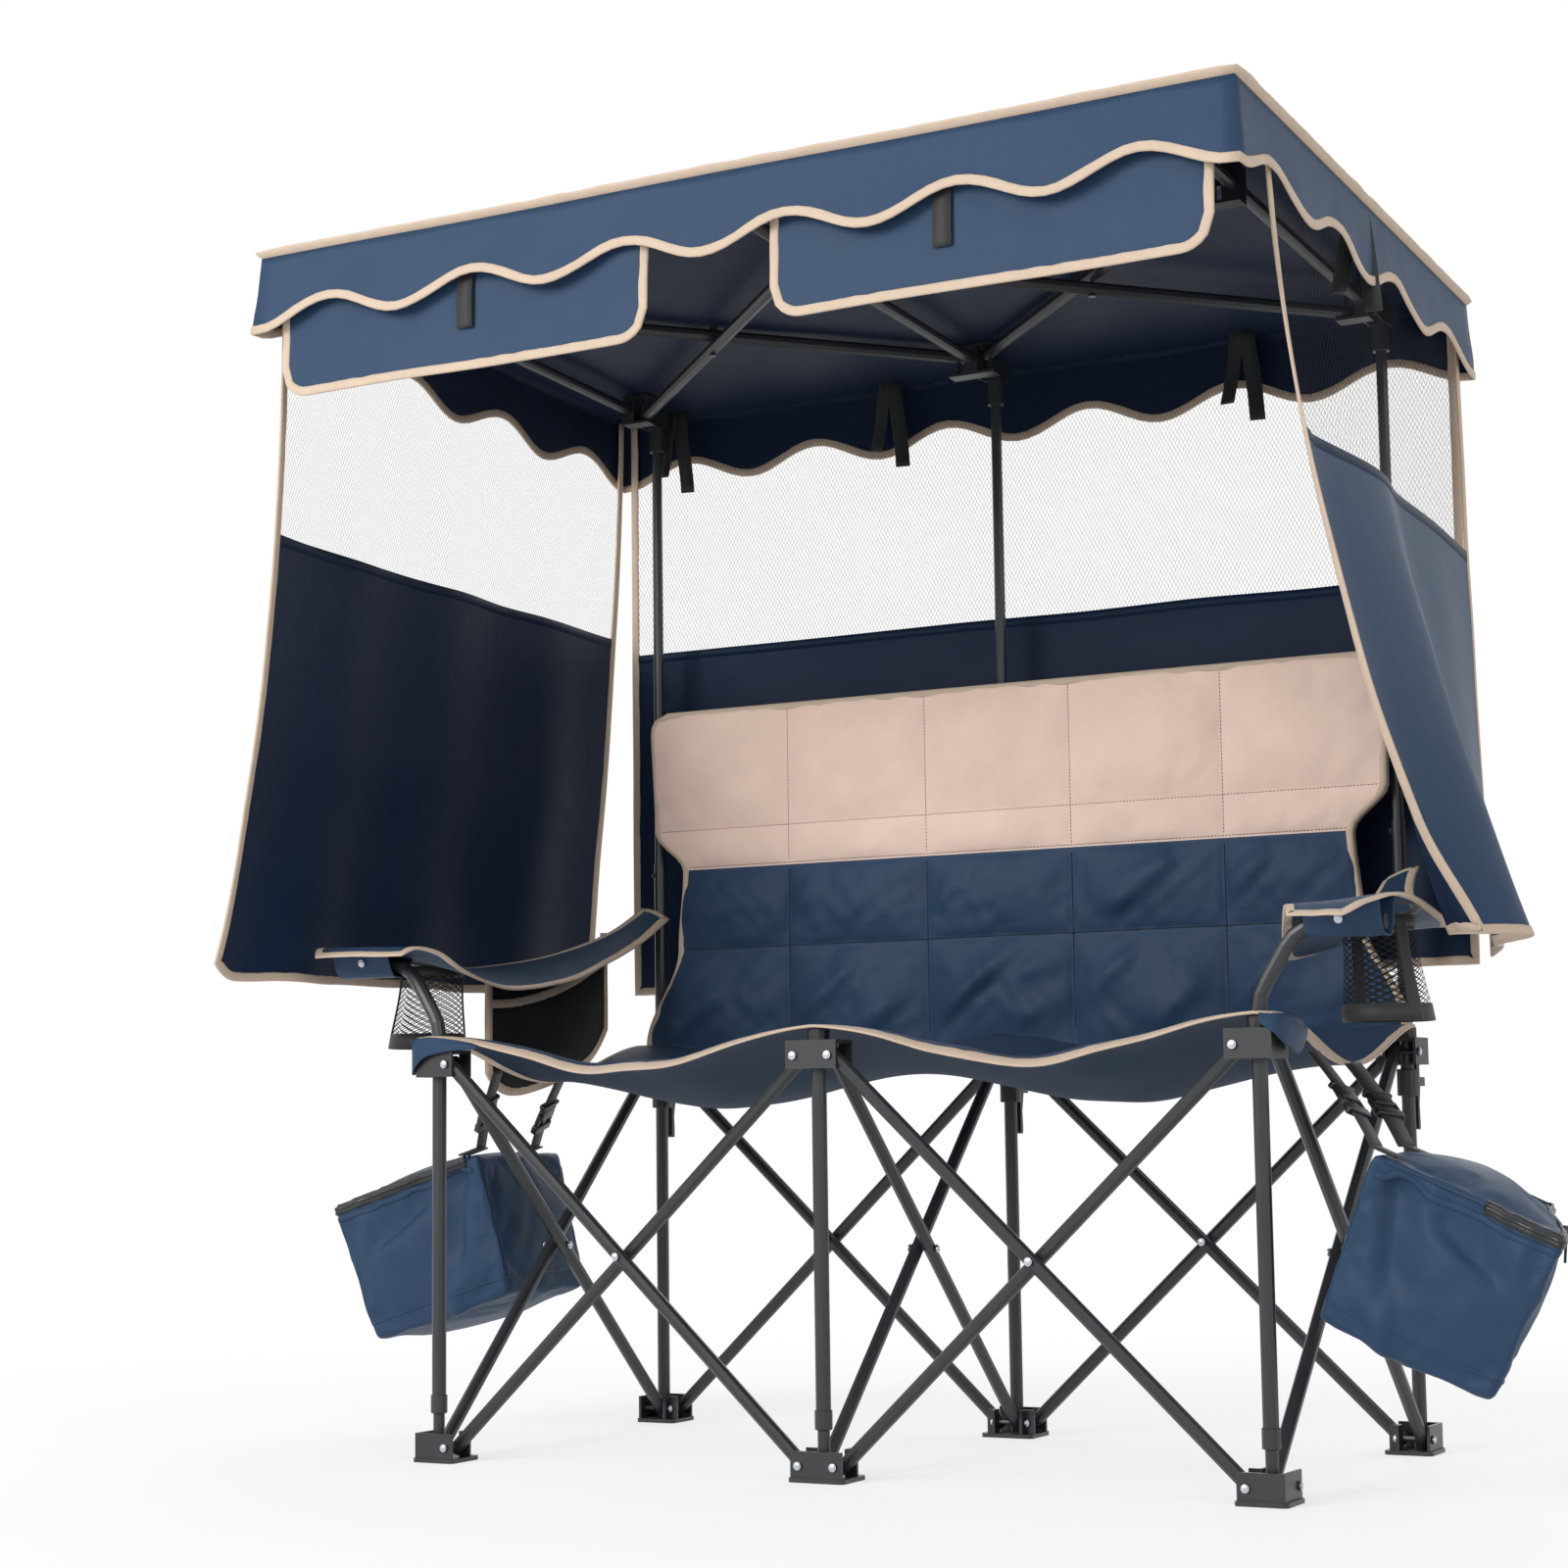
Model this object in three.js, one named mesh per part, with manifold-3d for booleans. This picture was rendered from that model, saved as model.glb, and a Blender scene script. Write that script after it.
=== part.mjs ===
// Folding camping loveseat with a canopy: a scissor frame of six legs, a sling seat and a
// sun roof on three telescoping back posts. Millimetres, +Z up, -Y to the front, floor at z = 0.
import * as THREE from 'three';
import { mergeVertices } from 'three/addons/utils/BufferGeometryUtils.js';
import Module from 'manifold-3d';

const wasm = await Module();
wasm.setup();

// Frame
const BAY = 520; // leg axis to leg axis, across and front to back
const SEAT_PIVOT_Z = 470; // scissor pivots in the seat hubs
const FOOT_PIVOT_Z = 18; // scissor pivots in the feet
const PIVOT_OUT = 22; // scissor pivot from the axis of its leg
const TUBE_R = 8; // scissor tube
const TUBE_TAIL = 8; // scissor tube past its pivot
const TUBE_SIDES = 10;
const GAP = 0.4; // running gap between neighbours
const MERGE_FLAT = 0.01; // faces this close to one plane are merged after a join or a cut
const PAST = 1; // a cutting tool or a joined piece passes a face by this
const EDGE = 1; // small chamfer on moulded rings
const PIN_R = 2.5;
const PIN_SIDES = 8;
const RIVET_R = 5;
const RIVET_HEIGHT = 1.8;
const BRACKET_WALL = 3.5;
const BRACKET_END = 10; // bracket past the pivot
const FOOT_WALL_Z = 34;
const FOOT_FLOOR = 5;
const FOOT_FLANGE = 6; // flange beyond the bracket walls
const HUB_BELOW = 15; // hub wall below its pivots
const HUB_PLATE = 4.2;
const HUB_PLATE_TOP = 17; // hub plate's top above its pivots
const HUB_COLLAR_R = 12.5;
const HUB_COLLAR = 13; // collar above the plate

// Legs and arm posts
const BACK_LEG_R = 8.2;
const BACK_LEG_TOP = 750;
const LEG_WALL = 1;
const LEG_PLUG = 20; // solid plug at the foot of a back leg
const FRONT_STUB_R = 6.9;
const FRONT_STUB_TOP = 311;
const FRONT_TUBE_R = 8.5;
const FRONT_TUBE_BOTTOM = 62;
const FRONT_SLEEVE_R = 10; // plastic sleeve at the lower end of a front tube
const FRONT_SLEEVE = 16;
const FRONT_SLEEVE_LIP = 6; // sleeve below the tube's end
const LEG_SIDES = 12;
const BUTTON_R = 4;
const BUTTON_OUT = 3.5;
const BUTTON_DOWN = 14; // snap button below the top of a back leg
const ARM_LEAN = 46; // arm post leans out by this
const ARM_LEAN_START = 505;
const ARM_TIP = 140; // tip of the arm post from its leg's axis
const ARM_BEND = 26;
const ARM_STEPS = 14;
const ARM_SHRINK = 0.05; // bent part inside the straight part of its tube, for a clean join

// Height clamps on the back legs
const CLAMP_R = 13;
const CLAMP_TOP = 20; // below the hub's pivots
const CLAMP_LENGTH = 32;
const LEVER_PIVOT_DOWN = 35;
const LEVER_PIVOT_BACK = 22;
const LEVER_EAR = 3.5;
const LEVER_HALF = 8.6;
const LEVER_LENGTH = 57;
const LEVER_THICK = 5.5;
const LEVER_CURL = 3; // finger lip at the lever's tip
const LEVER_BARREL_R = 4.4;
const LEVER_FACE = 14; // front face of the closed lever behind the leg's axis

// Canopy frame
const POST_R = 6.9;
const POST_BOTTOM = 690;
const POST_COLLAR_R = 11;
const POST_COLLAR = 32;
const HINGE_Z = 1372;
const HINGE_OUT = 40; // rib hinge in front of the post's axis
const HINGE_EAR = 3.5;
const HINGE_EAR_R = 12;
const RIB_R = 7.5;
const RIB_EYE_R = 8;
const RIB_EYE_HALF = 9;
const RIB_SLOPE = THREE.MathUtils.degToRad(2.5);
const RIB_PIVOT = 25; // brace pivots in front of the rib hinge
const RIB_BLOCK = 11; // half length of a pivot block along the rib
const RIB_WEB = 9;
const SLIDER_WEB = 10.3;
const RIB_CAP = 9; // half length and width of the cap at a rib's tip

// Canopy cover and walls
const COVER_HALF = 610;
const COVER_FRONT = -500;
const COVER_BACK = 325;
const COVER_THICK = 2.5;
const SKIRT_MEAN = 80;
const SKIRT_WAVE = 15;
const SCALLOPS_ACROSS = 6;
const SCALLOPS_ALONG = 4;
const POINTS_PER_SCALLOP = 6;
const SKIRT_FLARE = 4;
const FLAP_INSET = 10; // front flap behind the skirt
const FLAP_EDGES = [78, 582]; // flap's sides from the middle
const FLAP_DROP = 172;
const FLAP_CORNER = 36;
const FLAP_THICK = 3;
const WALL_INSET = 7; // wall inside the cover's edge
const WALL_THICK = 2;
const WALL_BOTTOM = 575;
const WALL_FRONT = -465;
const BACK_WALL_HALF = 596;
const WALL_FLARE_FRONT = 96;
const WALL_FLARE_BACK = 63;
const WALL_FOLD = 7;
const WALL_FOLDS = 7; // half waves across
const BACK_WALL_FOLDS = 10;
const WALL_EASE = 1.5; // the flare grows toward the hem
const CURTAIN_TOP = [-392, -190, -60, 120]; // right wall at the top, from its front edge back
const CURTAIN_HEM = [-145, -30, 50, 180]; // the same places along its drawn back hem
const CURTAIN_OUT = [77, 150, 87, 60, 14]; // how far the hem stands out there and at the rear edge
const CURTAIN_DRAW = 1.4; // the draw back and the standing out grow toward the hem
const CURTAIN_EASE = 1.6;
const CURTAIN_BOTTOM_Z = 585;

// Seat and backrest
const SEAT_HALF = 540;
const SEAT_FRONT = 16; // hem in front of the front legs
const SEAT_THICK = 4;
const SEAT_SAG_BAY = 38;
const SEAT_SAG_DEPTH = 50;
const BACK_TOP = 955;
const BACK_BOTTOM = 502;
const BACK_THICK = 15;
const BACK_CROWN = 8;
const BACK_COLUMNS = 5;
const PAD_STEPS = 3; // facets across one quilted pad
const BACK_ROWS = [955, 792, 738, 630, 502];
const BACK_HALF = [520, 514, 470, 478, 530]; // half width at each of those heights

// Arm slings, cup holders, pocket and bags
const ARM_Z = 604;
const ARM_THICK = 5;
const ARM_FRONT = -345;
const ARM_ROWS = 26; // facets along a sling
const ARM_FLAT_END = -85;
const ARM_DIP = 30;
const ARM_DIP_SHARE = 0.67; // the dip takes this share of the run behind the flat part
const ARM_RISE_EASE = 1.5;
const ARM_CORNER = 26;
const ARM_CORNER_DEPTH = 66;
const ARM_BACK_RISE = 86;
const ARM_INNER = 502;
const ARM_OUTER = 668;
const ARM_OUTER_BACK = 545;
const CUP_OUT = 614;
const CUP_Y = -142;
const CUP_TOP_R = 40;
const CUP_BOTTOM_R = 46;
const CUP_HEIGHT = 100;
const CUP_WALL = 2;
const CUP_SIDES = 20;
const CUP_RING = 8; // straight ring at the bottom
const POCKET_X = -564;
const POCKET_Y = [-110, 172];
const POCKET_DROP = 140;
const POCKET_THICK = 8;
const POCKET_SWELL = 4;
const POCKET_CORNER = 26;
const BAG_DEEP = 205;
const BAG_HIGH = 188;
const BAG_ROUND = 22;
const BAG_TAPER = 0.08; // the bag's foot is narrower than its lid by this share
const BAG_STRAP_WIDTH = 25;
const BAG_STRAP_THICK = 2.5;
const BAG_STRAP_SPREAD = 62;
const BAG_STRAP_SINK = 14; // strap sewn into the bag's lid
const BAG_STRAP_TAB = 10; // strap's straight tab at the seat's hem, and its end in the bag
const BAGS = {
  left: { side: -1, wide: 250, y: 42, tilt: 17, edgeX: 602, edgeZ: 366 },
  right: { side: 1, wide: 224, y: -150, tilt: 24, edgeX: 628, edgeZ: 362 },
};

// Worked out from the sizes above
const COLUMNS = { left: -BAY, centre: 0, right: BAY };
const ROWS = { front: -BAY / 2, back: BAY / 2 };
const LAYER = TUBE_R + GAP; // scissor tube off the middle plane of its pair
const CHANNEL_IN = LAYER + TUBE_R + GAP;
const CHANNEL_OUT = CHANNEL_IN + BRACKET_WALL;
const BRACKET_REACH = PIVOT_OUT + BRACKET_END;
const SPAN = BAY - 2 * PIVOT_OUT; // pivot to pivot, level
const RISE = SEAT_PIVOT_Z - FOOT_PIVOT_Z;
const HINGE_Y = ROWS.back - HINGE_OUT;
const RIB_LENGTH = HINGE_Y - COVER_FRONT - FLAP_INSET - FLAP_THICK - GAP;
const HUB_TOP = SEAT_PIVOT_Z + HUB_PLATE_TOP + HUB_COLLAR;
const BACK_FACE_Y = ROWS.back - BACK_LEG_R - GAP;
const COVER_LIFT = CHANNEL_OUT + GAP; // cover's inner face above the rib axes

const PAINT = { color: 0x2e2f31, roughness: 0.5, metalness: 0.6 };
const PLASTIC = { color: 0x1b1b1c, roughness: 0.55, metalness: 0 };
const NAVY = { color: 0x2a4263, roughness: 0.85, metalness: 0 };
const DARK_NAVY = { color: 0x151f2e, roughness: 0.9, metalness: 0 };
const MESH_BLACK = { color: 0x18191b, roughness: 0.9, metalness: 0 };

const chair = new THREE.Group();

function add(parent, name, geometry, finish) {
  const mesh = new THREE.Mesh(geometry, new THREE.MeshStandardMaterial(finish));
  mesh.name = name;
  parent.add(mesh);
  return mesh;
}

// Boolean joins and cuts
function solidOf(geometry) {
  const bare = geometry.clone();
  bare.deleteAttribute('normal');
  bare.deleteAttribute('uv');
  const merged = mergeVertices(bare, 1e-4);
  return new wasm.Manifold(
    new wasm.Mesh({
      numProp: 3,
      vertProperties: new Float32Array(merged.attributes.position.array),
      triVerts: new Uint32Array(merged.index.array),
    }),
  );
}

function geometryOf(solid) {
  const mesh = solid.asOriginal().simplify(MERGE_FLAT).getMesh();
  const geometry = new THREE.BufferGeometry();
  geometry.setAttribute('position', new THREE.BufferAttribute(new Float32Array(mesh.vertProperties), 3));
  geometry.setIndex(new THREE.BufferAttribute(new Uint32Array(mesh.triVerts), 1));
  geometry.computeVertexNormals();
  return geometry;
}

function join(first, ...others) {
  return geometryOf(others.reduce((sum, other) => sum.add(solidOf(other)), solidOf(first)));
}

function cut(first, ...others) {
  return geometryOf(others.reduce((rest, other) => rest.subtract(solidOf(other)), solidOf(first)));
}

// Basic shapes
function box(low, high) {
  const size = high.map((value, i) => value - low[i]);
  const middle = high.map((value, i) => (value + low[i]) / 2);
  return new THREE.BoxGeometry(...size).translate(...middle);
}

function turnTo(geometry, from, to) {
  const start = new THREE.Vector3(...from);
  const along = new THREE.Vector3(...to).sub(start).normalize();
  const turn = new THREE.Quaternion().setFromUnitVectors(new THREE.Vector3(0, 1, 0), along);
  return geometry.applyQuaternion(turn).translate(...from);
}

function rod(from, to, radius, sides, chamfer = 0) {
  const length = new THREE.Vector3(...from).distanceTo(new THREE.Vector3(...to));
  const profile = [[0, 0], [radius - chamfer, 0]];
  if (chamfer > 0) profile.push([radius, chamfer], [radius, length - chamfer]);
  profile.push([radius - chamfer, length], [0, length]);
  const points = profile.map(([r, h]) => new THREE.Vector2(r, h));
  return turnTo(new THREE.LatheGeometry(points, sides), from, to);
}

function revolve(profile, sides) {
  const points = profile.map(([r, h]) => new THREE.Vector2(r, h));
  return new THREE.LatheGeometry(points, sides).rotateX(Math.PI / 2);
}

function roundedPlate(x0, x1, y0, y1, radius, thickness) {
  const outline = new THREE.Shape();
  outline.moveTo(x0 + radius, y0);
  outline.lineTo(x1 - radius, y0);
  outline.absarc(x1 - radius, y0 + radius, radius, -Math.PI / 2, 0);
  outline.lineTo(x1, y1 - radius);
  outline.absarc(x1 - radius, y1 - radius, radius, 0, Math.PI / 2);
  outline.lineTo(x0 + radius, y1);
  outline.absarc(x0 + radius, y1 - radius, radius, Math.PI / 2, Math.PI);
  outline.lineTo(x0, y0 + radius);
  outline.absarc(x0 + radius, y0 + radius, radius, Math.PI, Math.PI * 1.5);
  return new THREE.ExtrudeGeometry(outline, { depth: thickness, bevelEnabled: false, curveSegments: 2 });
}

// A closed solid between two surfaces that are given as functions of u and v from 0 to 1
function sheet(front, back, columns, rows) {
  const positions = [];
  const index = [];
  const across = columns + 1;
  for (const surface of [front, back]) {
    for (let j = 0; j <= rows; j += 1) {
      for (let i = 0; i <= columns; i += 1) positions.push(...surface(i / columns, j / rows));
    }
  }
  const other = across * (rows + 1);
  const quad = (a, b, c, d) => index.push(a, b, c, a, c, d);
  for (let j = 0; j < rows; j += 1) {
    for (let i = 0; i < columns; i += 1) {
      const at = j * across + i;
      quad(at, at + 1, at + 1 + across, at + across);
      quad(other + at, other + at + across, other + at + 1 + across, other + at + 1);
    }
  }
  const rim = [];
  for (let i = 0; i < columns; i += 1) rim.push(i);
  for (let j = 0; j < rows; j += 1) rim.push(j * across + columns);
  for (let i = columns; i > 0; i -= 1) rim.push(rows * across + i);
  for (let j = rows; j > 0; j -= 1) rim.push(j * across);
  rim.forEach((at, k) => {
    const next = rim[(k + 1) % rim.length];
    quad(next, at, other + at, other + next);
  });
  const geometry = new THREE.BufferGeometry();
  geometry.setAttribute('position', new THREE.Float32BufferAttribute(positions, 3));
  geometry.setIndex(index);
  return facingOut(geometry);
}

function facingOut(geometry) {
  const p = geometry.attributes.position;
  const corner = (k) => new THREE.Vector3().fromBufferAttribute(p, geometry.index.getX(k));
  let volume = 0;
  for (let k = 0; k < geometry.index.count; k += 3) {
    volume += corner(k).dot(corner(k + 1).cross(corner(k + 2)));
  }
  if (volume < 0) geometry.setIndex(Array.from(geometry.index.array).reverse());
  geometry.computeVertexNormals();
  return geometry;
}

const mix = THREE.MathUtils.lerp;
const ease = (t) => THREE.MathUtils.smoothstep(t, 0, 1);

// Height or width read off a list of stations, eased between them
function between(stations, values, at) {
  for (let i = 0; i < stations.length - 1; i += 1) {
    const share = (at - stations[i]) / (stations[i + 1] - stations[i]);
    if (share >= 0 && share <= 1) return mix(values[i], values[i + 1], ease(share));
  }
  return at > Math.max(...stations) ? values[0] : values[values.length - 1];
}

// Brackets: a cross of open channels with a pin and two rivet heads for each scissor tube
function armsOf(column, row) {
  return {
    left: column !== 'left',
    right: column !== 'right',
    front: row === 'back',
    back: row === 'front',
  };
}

function reachOf(arms, closed, open) {
  return {
    x0: arms.left ? -open : -closed,
    x1: arms.right ? open : closed,
    y0: arms.front ? -open : -closed,
    y1: arms.back ? open : closed,
  };
}

function crossBlock(arms, half, closed, open, z0, z1) {
  const r = reachOf(arms, closed, open);
  return join(box([r.x0, -half, z0], [r.x1, half, z1]), box([-half, r.y0, z0], [half, r.y1, z1]));
}

function rivetedPin(from, to) {
  const start = new THREE.Vector3(...from);
  const end = new THREE.Vector3(...to);
  const along = end.clone().sub(start).normalize();
  const past = (point, length) => point.clone().addScaledVector(along, length).toArray();
  return join(
    rod(past(start, -RIVET_HEIGHT / 2), past(end, RIVET_HEIGHT / 2), PIN_R, PIN_SIDES),
    rod(past(start, -RIVET_HEIGHT), past(start, RIVET_HEIGHT / 2), RIVET_R, PIN_SIDES),
    rod(past(end, -RIVET_HEIGHT / 2), past(end, RIVET_HEIGHT), RIVET_R, PIN_SIDES),
  );
}

function bracketPins(arms, z) {
  const pins = [];
  const o = CHANNEL_OUT;
  if (arms.left) pins.push(rivetedPin([-PIVOT_OUT, -o, z], [-PIVOT_OUT, o, z]));
  if (arms.right) pins.push(rivetedPin([PIVOT_OUT, -o, z], [PIVOT_OUT, o, z]));
  if (arms.front) pins.push(rivetedPin([-o, -PIVOT_OUT, z], [o, -PIVOT_OUT, z]));
  if (arms.back) pins.push(rivetedPin([-o, PIVOT_OUT, z], [o, PIVOT_OUT, z]));
  return pins;
}

function footBracket(arms) {
  const outside = crossBlock(arms, CHANNEL_OUT, CHANNEL_OUT, BRACKET_REACH, 0, FOOT_WALL_Z);
  const inside = crossBlock(
    arms, CHANNEL_IN, CHANNEL_IN, BRACKET_REACH + FOOT_FLANGE, FOOT_FLOOR, FOOT_WALL_Z + FOOT_FLOOR,
  );
  const r = reachOf(arms, CHANNEL_OUT + FOOT_FLANGE / 2, BRACKET_REACH + FOOT_FLANGE / 2);
  const flange = roundedPlate(r.x0, r.x1, r.y0, r.y1, FOOT_FLANGE, FOOT_FLOOR);
  return join(cut(outside, inside), flange, ...bracketPins(arms, FOOT_PIVOT_Z));
}

function legWithFoot(column, row) {
  const arms = armsOf(column, row);
  const foot = footBracket(arms);
  if (row === 'front') {
    return join(foot, rod([0, 0, FOOT_FLOOR / 2], [0, 0, FRONT_STUB_TOP], FRONT_STUB_R, LEG_SIDES));
  }
  const bore = BACK_LEG_R - LEG_WALL;
  const tube = revolve([
    [0, FOOT_FLOOR / 2], [BACK_LEG_R, FOOT_FLOOR / 2], [BACK_LEG_R, BACK_LEG_TOP],
    [bore, BACK_LEG_TOP], [bore, LEG_PLUG], [0, LEG_PLUG],
  ], LEG_SIDES);
  const buttonZ = BACK_LEG_TOP - BUTTON_DOWN;
  const face = (bore + BACK_LEG_R) / 2;
  const button = rod([-face, 0, buttonZ], [-BACK_LEG_R - BUTTON_OUT, 0, buttonZ], BUTTON_R, PIN_SIDES, EDGE);
  return join(foot, tube, button);
}

function hubShell(arms, boreR, boreTop) {
  const z = SEAT_PIVOT_Z;
  const outside = crossBlock(
    arms, CHANNEL_OUT, CHANNEL_OUT, BRACKET_REACH, z - HUB_BELOW, z + HUB_PLATE_TOP,
  );
  const inside = crossBlock(
    arms, CHANNEL_IN, CHANNEL_IN, BRACKET_REACH + BRACKET_WALL,
    z - 2 * HUB_BELOW, z + HUB_PLATE_TOP - HUB_PLATE,
  );
  const plateMiddle = z + HUB_PLATE_TOP - HUB_PLATE / 2;
  const collar = rod([0, 0, plateMiddle], [0, 0, HUB_TOP], HUB_COLLAR_R, LEG_SIDES, EDGE);
  const bore = rod([0, 0, z - 2 * HUB_BELOW], [0, 0, boreTop], boreR, LEG_SIDES);
  return cut(join(cut(outside, inside), collar, ...bracketPins(arms, z)), bore);
}

function clampParts() {
  const top = SEAT_PIVOT_Z - CLAMP_TOP;
  const bottom = top - CLAMP_LENGTH;
  const leverZ = SEAT_PIVOT_Z - LEVER_PIVOT_DOWN;
  const ring = rod([0, 0, bottom], [0, 0, top], CLAMP_R, LEG_SIDES, EDGE);
  const web = box(
    [-LEVER_HALF, BACK_LEG_R + LEG_WALL, bottom + EDGE],
    [LEVER_HALF, CHANNEL_OUT, SEAT_PIVOT_Z + HUB_PLATE_TOP - HUB_PLATE / 2],
  );
  const notch = box(
    [-LEVER_HALF - GAP, LEVER_FACE - GAP, bottom],
    [LEVER_HALF + GAP, CHANNEL_OUT + RIVET_HEIGHT, leverZ + LEVER_BARREL_R + EDGE],
  );
  const ears = [-1, 1].map((side) => {
    const inner = side * (LEVER_HALF + GAP);
    const outer = side * (LEVER_HALF + GAP + LEVER_EAR);
    const x = [inner, outer].sort((a, b) => a - b);
    const half = LEVER_BARREL_R + EDGE;
    return box([x[0], 0, leverZ - half], [x[1], LEVER_PIVOT_BACK + half, leverZ + half]);
  });
  const reach = LEVER_HALF + GAP + LEVER_EAR / 2;
  const pin = rod([-reach, LEVER_PIVOT_BACK, leverZ], [reach, LEVER_PIVOT_BACK, leverZ], PIN_R, PIN_SIDES);
  return join(cut(join(ring, web), notch), ...ears, pin);
}

function hub(column, row) {
  const arms = armsOf(column, row);
  const capped = column === 'centre' && row === 'front';
  const boreR = (row === 'front' ? FRONT_TUBE_R : BACK_LEG_R) + GAP;
  const shell = hubShell(arms, boreR, capped ? HUB_TOP - HUB_PLATE : HUB_TOP + PAST);
  if (row === 'front') return shell;
  const low = SEAT_PIVOT_Z - CLAMP_TOP - CLAMP_LENGTH - PAST;
  const bore = rod([0, 0, low], [0, 0, HUB_TOP + PAST], boreR, LEG_SIDES);
  return cut(join(shell, clampParts()), bore);
}

function clampLever() {
  const y = LEVER_PIVOT_BACK;
  const z = SEAT_PIVOT_Z - LEVER_PIVOT_DOWN;
  const face = LEVER_FACE;
  const outline = new THREE.Shape();
  const tip = z - LEVER_LENGTH;
  outline.moveTo(face, z - EDGE);
  outline.lineTo(face, tip + LEVER_THICK);
  outline.quadraticCurveTo(face, tip, face + LEVER_THICK, tip);
  outline.quadraticCurveTo(face + LEVER_THICK + LEVER_CURL, tip, face + LEVER_THICK, z - LEVER_LENGTH / 2);
  outline.lineTo(y + LEVER_BARREL_R - EDGE, z - EDGE);
  const tongue = new THREE.ExtrudeGeometry(outline, {
    depth: 2 * (LEVER_HALF - EDGE), bevelEnabled: false, curveSegments: 4,
  });
  tongue.applyMatrix4(new THREE.Matrix4().makeBasis(
    new THREE.Vector3(0, 1, 0), new THREE.Vector3(0, 0, 1), new THREE.Vector3(1, 0, 0),
  ));
  tongue.translate(EDGE - LEVER_HALF, 0, 0);
  const barrel = rod([-LEVER_HALF, y, z], [LEVER_HALF, y, z], LEVER_BARREL_R, LEG_SIDES);
  const hole = rod([-LEVER_HALF - PAST, y, z], [LEVER_HALF + PAST, y, z], PIN_R + GAP, PIN_SIDES);
  return cut(join(tongue, barrel), hole);
}

// Front uprights: the outer ones lean out above the seat and carry the arm slings
function frontUpright(column) {
  const top = column === 'centre' ? HUB_TOP - HUB_PLATE - GAP : ARM_LEAN_START;
  const tube = rod([0, 0, FRONT_TUBE_BOTTOM], [0, 0, top], FRONT_TUBE_R, LEG_SIDES);
  const sleeveBottom = FRONT_TUBE_BOTTOM - FRONT_SLEEVE_LIP;
  const sleeveTop = FRONT_TUBE_BOTTOM + FRONT_SLEEVE;
  const sleeve = rod([0, 0, sleeveBottom], [0, 0, sleeveTop], FRONT_SLEEVE_R, LEG_SIDES, EDGE);
  const bore = rod(
    [0, 0, sleeveBottom - PAST], [0, 0, FRONT_STUB_TOP + FRONT_SLEEVE_LIP], FRONT_STUB_R + GAP, LEG_SIDES,
  );
  if (column === 'centre') return cut(join(tube, sleeve), bore);
  const side = Math.sign(COLUMNS[column]);
  const tipZ = ARM_Z - ARM_THICK / 2 - GAP - FRONT_TUBE_R;
  const at = (out, z) => new THREE.Vector3(side * out, 0, z);
  const start = at(0, ARM_LEAN_START - ARM_BEND / 2);
  const knee = at(0, ARM_LEAN_START + ARM_BEND / 2);
  const elbow = at(ARM_LEAN, tipZ);
  const tip = at(ARM_TIP, tipZ);
  const lean = elbow.clone().sub(knee).normalize();
  const kneeEnd = knee.clone().addScaledVector(lean, ARM_BEND / 2);
  const elbowStart = elbow.clone().addScaledVector(lean, -ARM_BEND);
  const elbowEnd = at(ARM_LEAN + ARM_BEND, tipZ);
  const path = new THREE.CurvePath();
  path.add(new THREE.QuadraticBezierCurve3(start, knee, kneeEnd));
  path.add(new THREE.LineCurve3(kneeEnd, elbowStart));
  path.add(new THREE.QuadraticBezierCurve3(elbowStart, elbow, elbowEnd));
  path.add(new THREE.LineCurve3(elbowEnd, tip));
  const section = new THREE.Shape().absarc(0, 0, FRONT_TUBE_R - ARM_SHRINK, 0, Math.PI * 2);
  const arm = new THREE.ExtrudeGeometry(section, {
    steps: ARM_STEPS, extrudePath: path, bevelEnabled: false, curveSegments: LEG_SIDES / 2,
  });
  return cut(join(tube, sleeve, arm), bore);
}

// Scissor tubes: each pair crosses on a rivet that the first tube of the pair carries
function brace(from, to, across, layer, carriesRivet) {
  const a = new THREE.Vector3(...from);
  const b = new THREE.Vector3(...to);
  const side = new THREE.Vector3(...across);
  const along = b.clone().sub(a).normalize();
  const shift = side.clone().multiplyScalar(layer);
  const place = (point, forward, sideways) => point.clone()
    .addScaledVector(along, forward).addScaledVector(side, sideways).toArray();
  a.add(shift);
  b.add(shift);
  const middle = a.clone().add(b).multiplyScalar(0.5);
  const tube = rod(place(a, -TUBE_TAIL, 0), place(b, TUBE_TAIL, 0), TUBE_R, TUBE_SIDES);
  const hole = (point) => rod(
    place(point, 0, -TUBE_R - PAST), place(point, 0, TUBE_R + PAST), PIN_R + GAP, PIN_SIDES,
  );
  if (!carriesRivet) return cut(tube, hole(a), hole(b), hole(middle));
  const toward = -Math.sign(layer);
  const farFace = toward * (2 * Math.abs(layer) + TUBE_R + GAP);
  const pin = rod(
    place(middle, 0, 0), place(middle, 0, farFace + toward * RIVET_HEIGHT / 2), PIN_R, PIN_SIDES,
  );
  const head = rod(
    place(middle, 0, farFace), place(middle, 0, farFace + toward * RIVET_HEIGHT),
    RIVET_R, PIN_SIDES,
  );
  const nearHead = rod(
    place(middle, 0, -toward * (TUBE_R - PAST)), place(middle, 0, -toward * (TUBE_R + RIVET_HEIGHT)),
    RIVET_R, PIN_SIDES,
  );
  return join(cut(tube, hole(a), hole(b)), pin, head, nearHead);
}

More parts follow.
